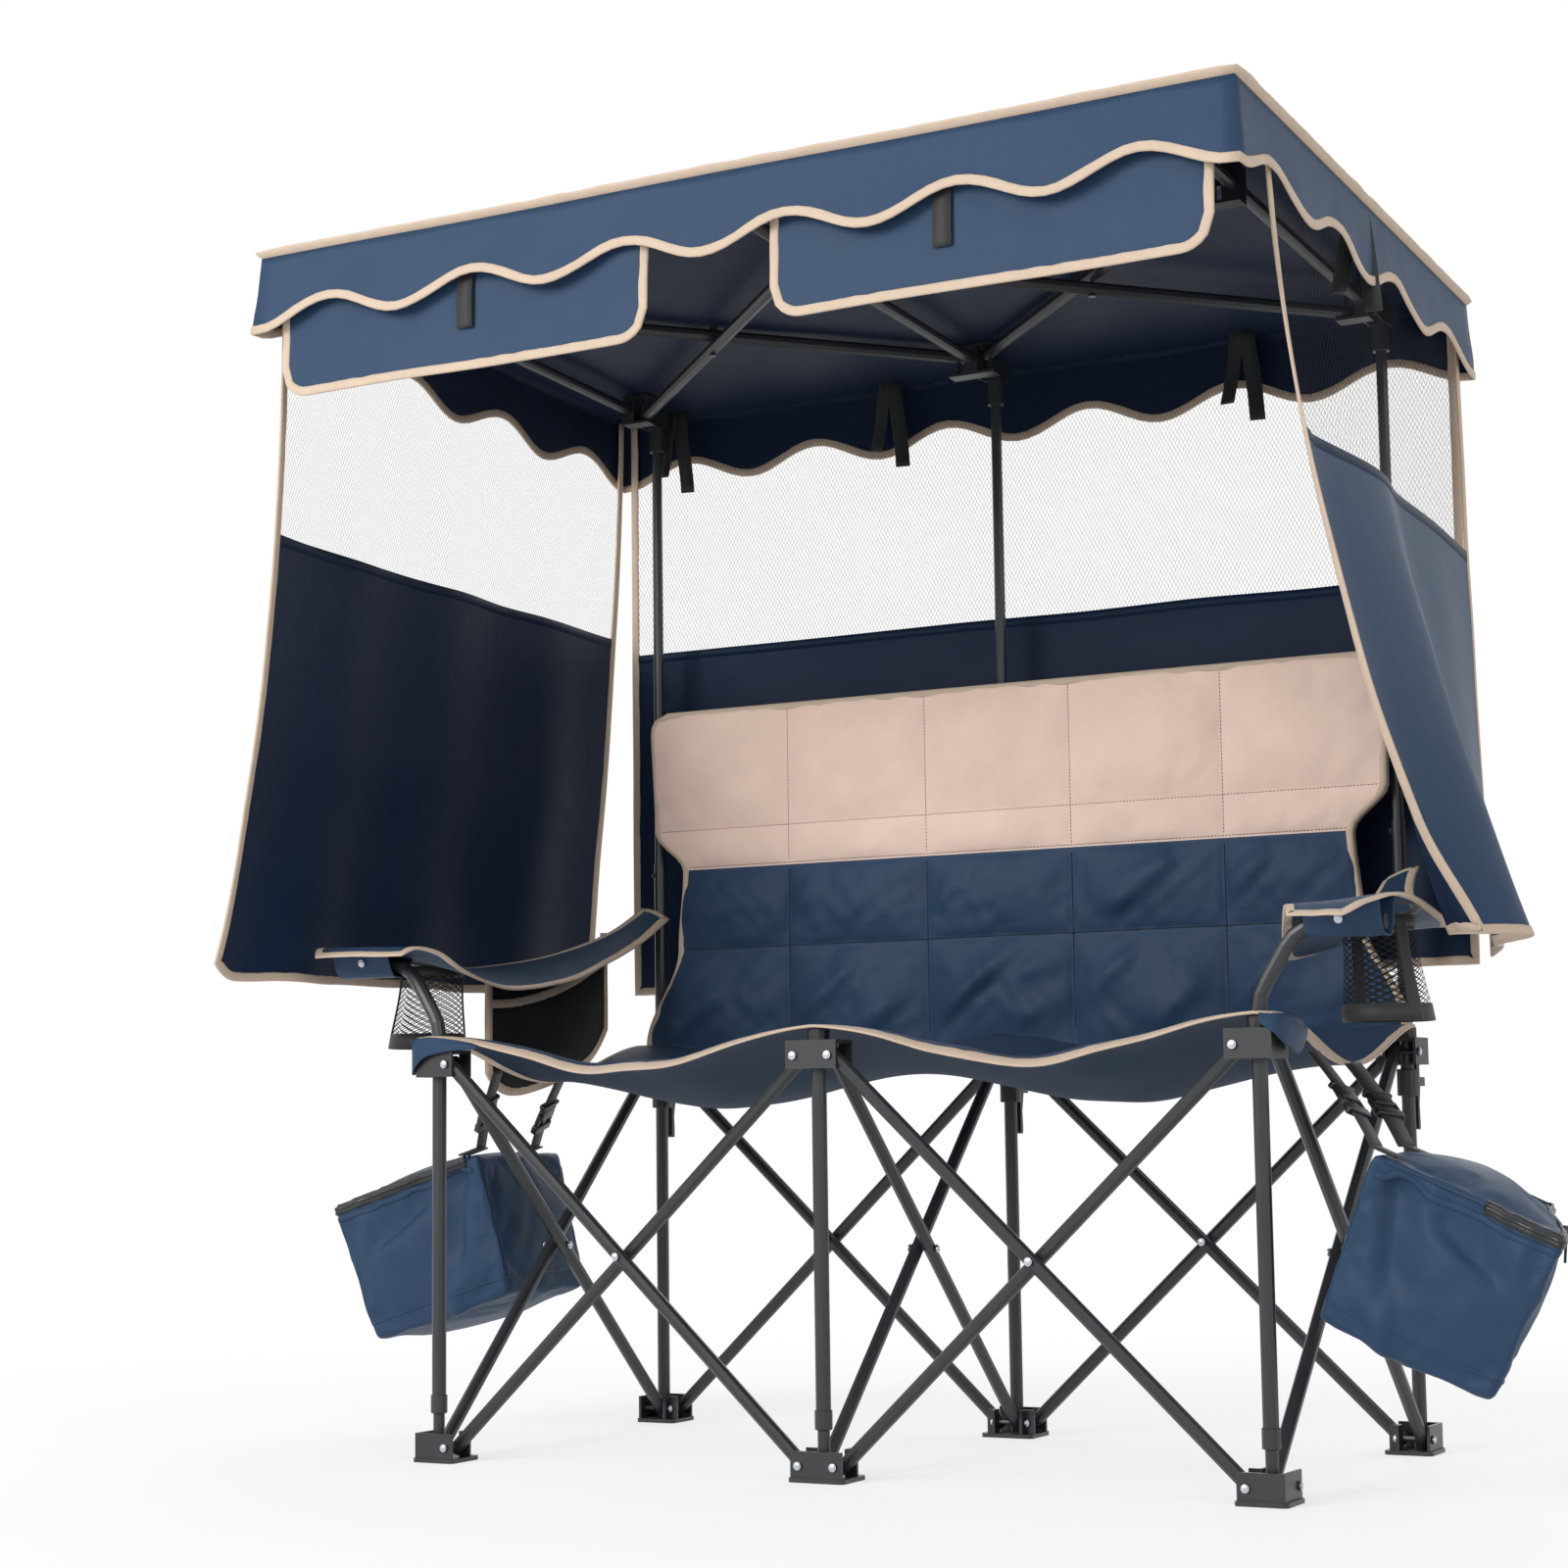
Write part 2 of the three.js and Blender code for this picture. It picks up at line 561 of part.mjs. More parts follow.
function buildFrame() {
  const X = [1, 0, 0];
  const Y = [0, 1, 0];
  for (const row of ['front', 'back']) {
    for (const column of ['left', 'centre', 'right']) {
      const spot = new THREE.Group();
      spot.position.set(COLUMNS[column], ROWS[row], 0);
      chair.add(spot);
      add(spot, `${row}_${column}_leg`, legWithFoot(column, row), PAINT);
      add(spot, `${row}_${column}_hub`, hub(column, row), PLASTIC);
      if (row === 'front') {
        const name = column === 'centre' ? 'front_centre_upright' : `front_${column}_arm_post`;
        add(spot, name, frontUpright(column), PAINT);
      } else {
        add(spot, `clamp_lever_${column}`, clampLever(), PLASTIC);
      }
    }
    for (const [bay, start, end] of [['left', -BAY, 0], ['right', 0, BAY]]) {
      const x0 = start + PIVOT_OUT;
      const x1 = end - PIVOT_OUT;
      const y = ROWS[row];
      const rising = brace([x0, y, FOOT_PIVOT_Z], [x1, y, SEAT_PIVOT_Z], Y, LAYER, true);
      const falling = brace([x1, y, FOOT_PIVOT_Z], [x0, y, SEAT_PIVOT_Z], Y, -LAYER, false);
      add(chair, `${row}_${bay}_brace_rising`, rising, PAINT);
      add(chair, `${row}_${bay}_brace_falling`, falling, PAINT);
    }
  }
  for (const column of ['left', 'centre', 'right']) {
    const x = COLUMNS[column];
    const y0 = ROWS.front + PIVOT_OUT;
    const y1 = ROWS.back - PIVOT_OUT;
    const rising = brace([x, y0, FOOT_PIVOT_Z], [x, y1, SEAT_PIVOT_Z], X, -LAYER, true);
    const falling = brace([x, y1, FOOT_PIVOT_Z], [x, y0, SEAT_PIVOT_Z], X, LAYER, false);
    add(chair, `${column}_side_brace_rising`, rising, PAINT);
    add(chair, `${column}_side_brace_falling`, falling, PAINT);
  }
}

// Canopy posts slide in the back legs and end in a fork for the rib hinge
function canopyPost() {
  const forkTop = HINGE_Z + HINGE_EAR_R;
  const forkBottom = HINGE_Z - HINGE_EAR_R;
  const tube = rod([0, 0, POST_BOTTOM], [0, 0, HINGE_Z], POST_R, LEG_SIDES);
  const collarBottom = forkBottom - POST_COLLAR;
  const collar = rod([0, 0, collarBottom], [0, 0, forkBottom + PAST], POST_COLLAR_R, LEG_SIDES, EDGE);
  const inner = RIB_EYE_HALF + GAP;
  const outer = inner + HINGE_EAR;
  const head = box([-outer, -POST_COLLAR_R, forkBottom], [outer, POST_COLLAR_R, forkTop]);
  const ears = [-1, 1].map((side) => {
    const x = [side * inner, side * outer].sort((a, b) => a - b);
    return join(
      box([x[0], -HINGE_OUT, forkBottom], [x[1], 0, forkTop]),
      rod([x[0], -HINGE_OUT, HINGE_Z], [x[1], -HINGE_OUT, HINGE_Z], HINGE_EAR_R, LEG_SIDES),
    );
  });
  const pin = rivetedPin([-outer, -HINGE_OUT, HINGE_Z], [outer, -HINGE_OUT, HINGE_Z]);
  return join(tube, collar, head, ...ears, pin);
}

// Pivot block of a rib or slider: two plates with a pin on each side that carries a brace
function pivotBlock(arms, y, web) {
  const x0 = arms.left ? -BRACKET_REACH : -web;
  const x1 = arms.right ? BRACKET_REACH : web;
  const plates = [-1, 1].map((side) => {
    const z = [side * CHANNEL_IN, side * CHANNEL_OUT].sort((a, b) => a - b);
    return box([x0, y - RIB_BLOCK, z[0]], [x1, y + RIB_BLOCK, z[1]]);
  });
  const core = box([-web, y - RIB_BLOCK, -CHANNEL_OUT + PAST], [web, y + RIB_BLOCK, CHANNEL_OUT - PAST]);
  const pins = ['left', 'right'].filter((side) => arms[side]).map((side) => {
    const x = side === 'left' ? -PIVOT_OUT : PIVOT_OUT;
    return rod([x, y, -CHANNEL_OUT + PAST], [x, y, CHANNEL_OUT - PAST], PIN_R, PIN_SIDES);
  });
  return join(core, ...plates, ...pins);
}

function canopyRib(column) {
  const arms = armsOf(column, 'back');
  const eye = rod([-RIB_EYE_HALF, 0, 0], [RIB_EYE_HALF, 0, 0], RIB_EYE_R, LEG_SIDES);
  const hole = rod([-RIB_EYE_HALF - PAST, 0, 0], [RIB_EYE_HALF + PAST, 0, 0], PIN_R + GAP, PIN_SIDES);
  const tube = rod([0, -RIB_EYE_R / 2, 0], [0, -RIB_LENGTH + RIB_CAP / 2, 0], RIB_R, LEG_SIDES);
  const cap = box([-RIB_CAP, -RIB_LENGTH, -RIB_CAP], [RIB_CAP, -RIB_LENGTH + RIB_CAP, CHANNEL_OUT]);
  return cut(join(eye, tube, cap, pivotBlock(arms, -RIB_PIVOT, RIB_WEB)), hole);
}

function canopySlider(column) {
  const arms = armsOf(column, 'back');
  const y = -RIB_PIVOT - RISE;
  const bore = rod([0, y - 2 * RIB_BLOCK, 0], [0, y + 2 * RIB_BLOCK, 0], RIB_R + GAP, LEG_SIDES);
  return cut(pivotBlock(arms, y, SLIDER_WEB), bore);
}

// The cover is one shell: a tight top, a scalloped skirt all round and two short front flaps
function canopyCover() {
  const y0 = COVER_FRONT - HINGE_Y;
  const y1 = COVER_BACK - HINGE_Y;
  const nx = SCALLOPS_ACROSS * POINTS_PER_SCALLOP;
  const ny = SCALLOPS_ALONG * POINTS_PER_SCALLOP;
  const loop = [];
  for (let i = 0; i < nx; i += 1) loop.push([i / nx, 0, i, 1]);
  for (let j = 0; j < ny; j += 1) loop.push([1, j / ny, j, 1]);
  for (let i = nx; i > 0; i -= 1) loop.push([i / nx, 1, i, 1]);
  for (let j = ny; j > 0; j -= 1) loop.push([0, j / ny, j, 1]);
  const positions = [];
  const index = [];
  const rings = (inset, top) => {
    const first = positions.length / 3;
    const place = (u, v, out, z) => {
      const x = mix(-COVER_HALF, COVER_HALF, u);
      const y = mix(y0, y1, v);
      const shrinkX = (COVER_HALF + out - inset) / COVER_HALF;
      const middle = (y0 + y1) / 2;
      const shrinkY = ((y1 - y0) / 2 + out - inset) / ((y1 - y0) / 2);
      positions.push(x * shrinkX, middle + (y - middle) * shrinkY, z);
    };
    loop.forEach(([u, v, step]) => {
      const drop = SKIRT_MEAN + SKIRT_WAVE * Math.cos((2 * Math.PI * step) / POINTS_PER_SCALLOP);
      place(u, v, SKIRT_FLARE, COVER_LIFT + COVER_THICK - drop);
    });
    loop.forEach(([u, v]) => place(u, v, 0, top));
    positions.push(0, (y0 + y1) / 2, top);
    return first;
  };
  const outer = rings(0, COVER_LIFT + COVER_THICK);
  const inner = rings(COVER_THICK, COVER_LIFT);
  const count = loop.length;
  for (let k = 0; k < count; k += 1) {
    const n = (k + 1) % count;
    const o = [outer + k, outer + n, outer + count + n, outer + count + k];
    const i = [inner + k, inner + n, inner + count + n, inner + count + k];
    index.push(o[0], o[1], o[2], o[0], o[2], o[3], o[3], o[2], outer + 2 * count);
    index.push(i[2], i[1], i[0], i[3], i[2], i[0], inner + 2 * count, i[2], i[3]);
    index.push(o[1], o[0], i[0], o[1], i[0], i[1]);
  }
  const shell = new THREE.BufferGeometry();
  shell.setAttribute('position', new THREE.Float32BufferAttribute(positions, 3));
  shell.setIndex(index);
  const flaps = [-1, 1].map((side) => {
    const x = FLAP_EDGES.map((edge) => side * edge).sort((a, b) => a - b);
    const top = COVER_LIFT + COVER_THICK / 2;
    const plate = roundedPlate(x[0], x[1], top - FLAP_DROP, top + 2 * FLAP_CORNER, FLAP_CORNER, FLAP_THICK);
    const hung = plate.rotateX(Math.PI / 2).translate(0, y0 + FLAP_INSET + FLAP_THICK, 0);
    const above = box([x[0] - PAST, y0, top], [x[1] + PAST, y0 + 2 * FLAP_INSET, top + 3 * FLAP_CORNER]);
    return cut(hung, above);
  });
  return join(facingOut(shell), ...flaps);
}

function buildCanopy() {
  const Z = [0, 0, 1];
  const roof = new THREE.Group();
  roof.position.set(0, HINGE_Y, HINGE_Z);
  roof.rotation.x = -RIB_SLOPE;
  chair.add(roof);
  for (const column of ['left', 'centre', 'right']) {
    const post = add(chair, `canopy_post_${column}`, canopyPost(), PAINT);
    post.position.set(COLUMNS[column], ROWS.back, 0);
    const rib = add(roof, `canopy_rib_${column}`, canopyRib(column), PAINT);
    rib.position.x = COLUMNS[column];
    const slider = add(roof, `canopy_slider_${column}`, canopySlider(column), PLASTIC);
    slider.position.x = COLUMNS[column];
  }
  for (const [bay, side] of [['left', -1], ['right', 1]]) {
    const near = side * PIVOT_OUT;
    const far = side * (PIVOT_OUT + SPAN);
    const rear = -RIB_PIVOT;
    const front = -RIB_PIVOT - RISE;
    const inner = brace([near, rear, 0], [far, front, 0], Z, LAYER, true);
    const outer = brace([far, rear, 0], [near, front, 0], Z, -LAYER, false);
    add(roof, `canopy_brace_${bay}_inner`, inner, PAINT);
    add(roof, `canopy_brace_${bay}_outer`, outer, PAINT);
  }
  add(roof, 'canopy_cover', canopyCover(), NAVY);
}

// Height of the cover's inner face above the floor
function coverInside(y) {
  return HINGE_Z + COVER_LIFT / Math.cos(RIB_SLOPE) - (y - HINGE_Y) * Math.tan(RIB_SLOPE);
}

// Walls hang from the cover's edge with a few soft folds; the right one is drawn back like a curtain
function buildWalls() {
  const backY = COVER_BACK - WALL_INSET;
  const backWall = (depth) => (u, v) => {
    const z = mix(coverInside(backY) - 2 * GAP, WALL_BOTTOM, v);
    const fold = WALL_FOLD * v * Math.sin(u * Math.PI * BACK_WALL_FOLDS);
    return [mix(-BACK_WALL_HALF, BACK_WALL_HALF, u), backY - depth + Math.min(fold, WALL_INSET / 2), z];
  };
  add(chair, 'wall_back', sheet(backWall(WALL_THICK), backWall(0), 20, 4), DARK_NAVY);

  const sideX = COVER_HALF - WALL_INSET;
  const rearY = backY - WALL_INSET - WALL_FOLD;
  const leftWall = (depth) => (u, v) => {
    const y = mix(WALL_FRONT, rearY, u);
    const z = mix(coverInside(y) - 2 * GAP, WALL_BOTTOM, v);
    const flare = mix(WALL_FLARE_FRONT, WALL_FLARE_BACK, u) * v ** WALL_EASE;
    const fold = WALL_FOLD * v * Math.sin(u * Math.PI * WALL_FOLDS);
    return [-sideX - flare - fold + depth, y, z];
  };
  add(chair, 'wall_left', sheet(leftWall(WALL_THICK), leftWall(0), 16, 5), DARK_NAVY);

  const line = (places) => new THREE.SplineCurve(
    [...places, rearY].map((y, i) => new THREE.Vector2(y, CURTAIN_OUT[i])),
  );
  const head = line(CURTAIN_TOP);
  const hem = line(CURTAIN_HEM);
  const curtain = (depth) => (u, v) => {
    const low = hem.getPoint(u);
    const y = mix(head.getPoint(u).x, low.x, v ** CURTAIN_DRAW);
    const z = mix(coverInside(y) - 2 * GAP, CURTAIN_BOTTOM_Z, v);
    return [sideX + low.y * v ** CURTAIN_EASE - depth, y, z];
  };
  add(chair, 'wall_right', sheet(curtain(0), curtain(WALL_THICK), 24, 6), DARK_NAVY);
}

// The seat sling sags between its hubs and is sewn across at mid depth, where it folds
function seatTop(x, y) {
  const bay = Math.sin((Math.PI * x) / BAY) ** 2;
  const depth = Math.sin((Math.PI * (y - ROWS.front)) / BAY) ** 2;
  return HUB_TOP + 2 * GAP + SEAT_THICK - SEAT_SAG_BAY * bay - SEAT_SAG_DEPTH * depth;
}

function seatPanel(y0, y1) {
  const surface = (depth) => (u, v) => {
    const x = mix(-SEAT_HALF, SEAT_HALF, u);
    const y = mix(y0, y1, v);
    return [x, y, seatTop(x, Math.max(y, ROWS.front)) - depth];
  };
  return sheet(surface(0), surface(SEAT_THICK), 24, 5);
}

function buildSeat() {
  const front = seatPanel(ROWS.front - SEAT_FRONT, -GAP);
  const holes = [-1, 1].map((side) => rod(
    [side * BAY, ROWS.front, SEAT_PIVOT_Z], [side * BAY, ROWS.front, ARM_Z],
    HUB_COLLAR_R + 2 * GAP, LEG_SIDES,
  ));
  const seatOn = rod(
    [0, ROWS.front, SEAT_PIVOT_Z], [0, ROWS.front, HUB_TOP + GAP], HUB_COLLAR_R + GAP, LEG_SIDES,
  );
  add(chair, 'seat_front_panel', cut(front, ...holes, seatOn), NAVY);
  const rearEdge = BACK_FACE_Y - BACK_THICK - BACK_CROWN - GAP;
  add(chair, 'seat_rear_panel', seatPanel(0, rearEdge), NAVY);
}

// The backrest is quilted: pads swell between the sewn lines
function backrest() {
  const stations = [];
  BACK_ROWS.slice(0, -1).forEach((top, i) => {
    for (let k = 0; k < PAD_STEPS; k += 1) {
      stations.push([mix(top, BACK_ROWS[i + 1], k / PAD_STEPS), k / PAD_STEPS]);
    }
  });
  stations.push([BACK_BOTTOM, 1]);
  const columns = BACK_COLUMNS * PAD_STEPS;
  const at = (u, v) => {
    const [z, row] = stations[Math.round(v * (stations.length - 1))];
    const half = between(BACK_ROWS, BACK_HALF, z);
    const pad = Math.sqrt(Math.sin(Math.PI * row) * Math.abs(Math.sin(Math.PI * BACK_COLUMNS * u)));
    return { x: mix(-half, half, u), z: Math.min(z, BACK_TOP), pad };
  };
  const front = (u, v) => {
    const p = at(u, v);
    return [p.x, BACK_FACE_Y - BACK_THICK - BACK_CROWN * p.pad, p.z];
  };
  const back = (u, v) => {
    const p = at(u, v);
    return [p.x, BACK_FACE_Y, p.z];
  };
  return sheet(front, back, columns, stations.length - 1);
}

// Arm slings: flat round the cup holder, then a dip and a rise to the back leg
function armHeight(y, rearY) {
  const share = THREE.MathUtils.clamp((y - ARM_FLAT_END) / (rearY - ARM_FLAT_END), 0, 1);
  const dip = ARM_DIP * Math.sin(Math.PI * Math.min(share / ARM_DIP_SHARE, 1)) ** 2;
  return ARM_Z - dip + ARM_BACK_RISE * ease(share) ** ARM_RISE_EASE;
}

function armSling(side) {
  const rearY = ROWS.back - BACK_LEG_R - GAP;
  const surface = (depth) => (u, v) => {
    const y = mix(ARM_FRONT, rearY, v);
    const taper = ease((y - ARM_FLAT_END) / (rearY - ARM_FLAT_END));
    const corner = ARM_CORNER * THREE.MathUtils.clamp(1 - (y - ARM_FRONT) / ARM_CORNER_DEPTH, 0, 1) ** 2;
    const outer = mix(ARM_OUTER, ARM_OUTER_BACK, taper) - corner;
    return [side * mix(ARM_INNER + corner / 2, outer, u), y, armHeight(y, rearY) + ARM_THICK / 2 - depth];
  };
  const sling = sheet(surface(0), surface(ARM_THICK), 5, ARM_ROWS);
  const hole = rod(
    [side * CUP_OUT, CUP_Y, ARM_Z - 2 * ARM_THICK], [side * CUP_OUT, CUP_Y, ARM_Z + 2 * ARM_THICK],
    CUP_TOP_R - CUP_WALL, CUP_SIDES,
  );
  return cut(sling, hole);
}

function cupHolder(side) {
  const top = ARM_Z - ARM_THICK / 2 - GAP;
  const bottom = top - CUP_HEIGHT;
  return revolve([
    [0, bottom], [CUP_BOTTOM_R, bottom], [CUP_BOTTOM_R, bottom + CUP_RING], [CUP_TOP_R, top],
    [CUP_TOP_R - CUP_WALL, top], [CUP_BOTTOM_R - CUP_WALL, bottom + CUP_RING],
    [CUP_BOTTOM_R - CUP_WALL, bottom + CUP_WALL], [0, bottom + CUP_WALL],
  ], CUP_SIDES).translate(side * CUP_OUT, CUP_Y, 0);
}

function sidePocket() {
  const rearY = ROWS.back - BACK_LEG_R - GAP;
  const surface = (depth) => (u, v) => {
    const y = mix(POCKET_Y[0], POCKET_Y[1], u);
    const top = armHeight(y, rearY) - ARM_THICK / 2 - 3 * GAP;
    const bottom = ARM_Z - ARM_DIP - POCKET_DROP + POCKET_CORNER * Math.abs(2 * u - 1) ** 3;
    const swell = POCKET_SWELL * Math.sin(Math.PI * u) * Math.sin(Math.PI * v);
    return [POCKET_X - depth - Math.sign(depth) * swell, y, mix(top, bottom, v)];
  };
  return sheet(surface(0), surface(POCKET_THICK), 12, 4);
}

// Cooler bags hang by two straps from the sling's side and lean out
function coolerBag({ side, wide, y, tilt, edgeX, edgeZ }) {
  const body = roundedPlate(0, wide, -BAG_DEEP / 2, BAG_DEEP / 2, BAG_ROUND, BAG_HIGH);
  const taper = body.attributes.position;
  for (let k = 0; k < taper.count; k += 1) {
    const share = 1 - BAG_TAPER * (1 - taper.getZ(k) / BAG_HIGH);
    taper.setXY(k, wide / 2 + (taper.getX(k) - wide / 2) * share, taper.getY(k) * share);
  }
  body.translate(0, 0, -BAG_HIGH);
  body.rotateY(THREE.MathUtils.degToRad(tilt)).translate(edgeX, y, edgeZ);
  const lean = THREE.MathUtils.degToRad(tilt);
  const top = SEAT_HALF + 2 * GAP + BAG_STRAP_THICK;
  const underRivets = SEAT_PIVOT_Z - RIVET_R - GAP;
  const straps = [-1, 1].map((end) => {
    const middle = y + end * BAG_STRAP_SPREAD;
    const sewX = edgeX + BAG_STRAP_SINK * Math.cos(lean);
    const sewZ = edgeZ - BAG_STRAP_SINK * Math.sin(lean);
    const hemZ = Math.min(seatTop(SEAT_HALF, middle), underRivets);
    const low = hemZ - BAG_STRAP_TAB;
    const outline = new THREE.Shape();
    outline.moveTo(top - BAG_STRAP_THICK, hemZ);
    outline.lineTo(top, hemZ);
    outline.lineTo(top, low);
    outline.lineTo(sewX + BAG_STRAP_THICK, sewZ);
    outline.lineTo(sewX + BAG_STRAP_THICK, sewZ - BAG_STRAP_TAB);
    outline.lineTo(sewX, sewZ - BAG_STRAP_TAB);
    outline.lineTo(sewX, sewZ);
    outline.lineTo(top - BAG_STRAP_THICK, low);
    const strap = new THREE.ExtrudeGeometry(outline, { depth: BAG_STRAP_WIDTH, bevelEnabled: false });
    return strap.rotateX(Math.PI / 2).translate(0, middle + BAG_STRAP_WIDTH / 2, 0);
  });
  const whole = join(body, ...straps);
  if (side > 0) return whole;
  whole.scale(-1, 1, 1);
  return facingOut(whole);
}

function buildSoftParts() {
  buildSeat();
  add(chair, 'backrest', backrest(), NAVY);
  for (const [name, side] of [['left', -1], ['right', 1]]) {
    add(chair, `armrest_${name}`, armSling(side), NAVY);
    add(chair, `cup_holder_${name}`, cupHolder(side), MESH_BLACK);
    add(chair, `cooler_bag_${name}`, coolerBag(BAGS[name]), NAVY);
  }
  add(chair, 'side_pocket', sidePocket(), MESH_BLACK);
}

buildFrame();
buildCanopy();
buildWalls();
buildSoftParts();

// The origin is the middle of the part's outline on the floor
chair.updateMatrixWorld(true);
const outline = new THREE.Box3().setFromObject(chair, true);
const middle = outline.getCenter(new THREE.Vector3());
chair.position.set(-middle.x, -middle.y, -outline.min.z);

export default chair;
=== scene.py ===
"""Cloth, netting, trim and fittings of a folding camping loveseat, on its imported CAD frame."""

import math

import bmesh
import bpy
from mathutils import Matrix, Vector, noise
from mathutils.bvhtree import BVHTree


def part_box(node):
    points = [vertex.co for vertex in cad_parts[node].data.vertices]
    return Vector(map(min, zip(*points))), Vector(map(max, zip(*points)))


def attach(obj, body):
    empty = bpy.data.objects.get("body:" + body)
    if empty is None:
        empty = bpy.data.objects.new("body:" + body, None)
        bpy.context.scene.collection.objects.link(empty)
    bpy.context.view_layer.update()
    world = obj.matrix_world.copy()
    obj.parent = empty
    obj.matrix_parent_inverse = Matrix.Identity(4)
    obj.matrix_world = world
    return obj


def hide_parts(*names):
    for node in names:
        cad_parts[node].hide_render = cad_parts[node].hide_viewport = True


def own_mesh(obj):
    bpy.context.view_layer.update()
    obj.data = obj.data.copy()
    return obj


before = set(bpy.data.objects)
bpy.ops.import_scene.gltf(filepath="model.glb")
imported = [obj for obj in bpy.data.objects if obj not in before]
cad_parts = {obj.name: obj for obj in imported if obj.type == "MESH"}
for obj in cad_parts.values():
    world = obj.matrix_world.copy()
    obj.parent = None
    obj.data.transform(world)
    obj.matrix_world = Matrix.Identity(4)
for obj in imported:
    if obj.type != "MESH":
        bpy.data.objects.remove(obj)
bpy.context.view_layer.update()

bl_info = {
    "name": "Canopy Loveseat",
    "version": (1, 0, 0),
    "blender": (4, 5, 0),
    "location": "View3D > Sidebar > Loveseat",
    "description": "Cloth, netting, trim and fittings of a folding camping loveseat with a canopy",
    "category": "Object",
}

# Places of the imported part, in millimetres from the point on the floor between its six legs
BAY = 520.0
ROWS = {"front": -260.0, "back": 260.0}
COLUMNS = {"left": -BAY, "centre": 0.0, "right": BAY}
SIDES = {"left": -1, "right": 1}
GAP = 0.3
PIVOT_OUT = 22.0
PIVOT_Z = {"leg": 18.0, "hub": 470.0}
CHANNEL_OUT = 20.3
LAYER = 8.3
TUBE_R = 8.0
RIVET_OVER = 4.6
RIVET_HIGH = 1.8
HINGE_Y = 220.0
HINGE_Z = 1372.0
ROOF_SLOPE = math.radians(-2.5)
COVER_HALF = 610.0
COVER_FRONT = -720.0
COVER_BACK = 105.0
COVER_TOP = 23.2
COVER_INSIDE = 20.7
COVER_FLAT = (1.22, 0.825)  # flat sizes are in metres
COVER_SAG = 3.2
EDGE_SAG = 0.35  # share of the sag that is left at the front and rear edges
SKIRT_MEAN = 80.0
SKIRT_WAVE = 15.0
SKIRT_FLARE = 4.0
SCALLOPS = {"across": 6, "along": 4}
FLAP_FLAT = (0.504, 0.172)
FLAP_EDGES = (78.0, 582.0)
FLAP_DROP = 172.0
FLAP_CORNER = 36.0
FLAP_INSET = 11.5
SIDE_X = 603.0
WALL_REAR = 304.0
WALL_BACK = 318.0
WALL_BOTTOM = 575.0
SEAT_HALF = 540.0
SEAT_TOP = 504.8
SEAT_REAR = 228.0
BACK_ROWS = (955.0, 792.0, 738.0, 630.0, 502.0)
BACK_HALF = (520.0, 514.0, 470.0, 478.0, 530.0)
BACK_COLUMNS = 5
BACK_FACE = 251.4
BACK_THICK = 15.0
ARM_FLAT = (0.166, 0.62)
SLEEVE_FLAT = (0.083, 0.11)
ARM_Z = 604.0
ARM_FRONT = -345.0
ARM_REAR = 251.4
ARM_FLAT_END = -85.0
ARM_INNER = 502.0
ARM_OUTER = (668.0, 545.0)
CUP = {"x": 614.0, "y": -142.0, "top": 40.0, "foot": 49.0, "z": 596.0, "high": 102.0, "swing": 9.0}
CUP_HOLE = 0.0385
CUP_RIM = (38.2, 46.0)
CUP_STEPS = 64
POCKET_Y = (-88.0, 196.0)
POCKET_X = 569.0
POCKET_BOTTOM = 428.0
POCKET_RISE = 62.0  # its bottom rises to the rear by this much
POCKET_CORNER = 34.0
POUCH_OFF = 1.8
BAG_DEEP = 205.0
BAG_HIGH = 188.0
BAG_TAPER = 0.08  # share by which a bag is narrower at its foot
BAG_SEAMS = (-24.0, 24.0 - BAG_HIGH)  # heights between which its corner seams run
BAGS = {
    "left": {"side": -1, "wide": 250.0, "x": 602.0, "y": 42.0, "z": 366.0, "tilt": 17.0,
             "drawn": 10.0, "zip_from": 24.0, "pull_at": 0.5,
             "straps": ((-100.0, -50.0), (40.0, 78.0))},
    "right": {"side": 1, "wide": 224.0, "x": 628.0, "y": -150.0, "z": 362.0, "tilt": 24.0,
              "drawn": 62.0, "zip_from": 128.0, "pull_at": 0.36,
              "straps": ((-150.0, -228.0), (-22.0, -122.0))},
}

low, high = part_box("front_centre_upright")
MIDDLE = Vector(((low.x + high.x) / 2, (low.y + high.y) / 2 - ROWS["front"] / 1000, 0.0))
FOLDED_SHARE = 0.142
FOLD_ACROSS = {"axis": (1, 0, 0), "anchor": tuple(MIDDLE), "keep": FOLDED_SHARE}
FOLD_ARM = {
    "axis": (0, 1, 0),
    "anchor": (0, MIDDLE.y + ROWS["front"] / 1000, 0),
    "keep": FOLDED_SHARE,
}
FOLD_WALL = {
    "axis": (0, 1, 0),
    "anchor": (0, MIDDLE.y + ROWS["back"] / 1000, 0),
    "keep": 0.1,
}


def linear(hex_colour):
    """An sRGB hex colour as linear red, green, blue and alpha."""
    parts = [int(hex_colour[i:i + 2], 16) / 255 for i in (0, 2, 4)]
    return [c / 12.92 if c <= 0.04045 else ((c + 0.055) / 1.055) ** 2.4 for c in parts] + [1.0]


def length_property(name, description, default):
    return bpy.props.FloatProperty(
        name=name, description=description, default=default, unit="LENGTH")


def colour_property(name, description, hex_colour):
    return bpy.props.FloatVectorProperty(
        name=name, description=description, default=linear(hex_colour), subtype="COLOR", size=4)


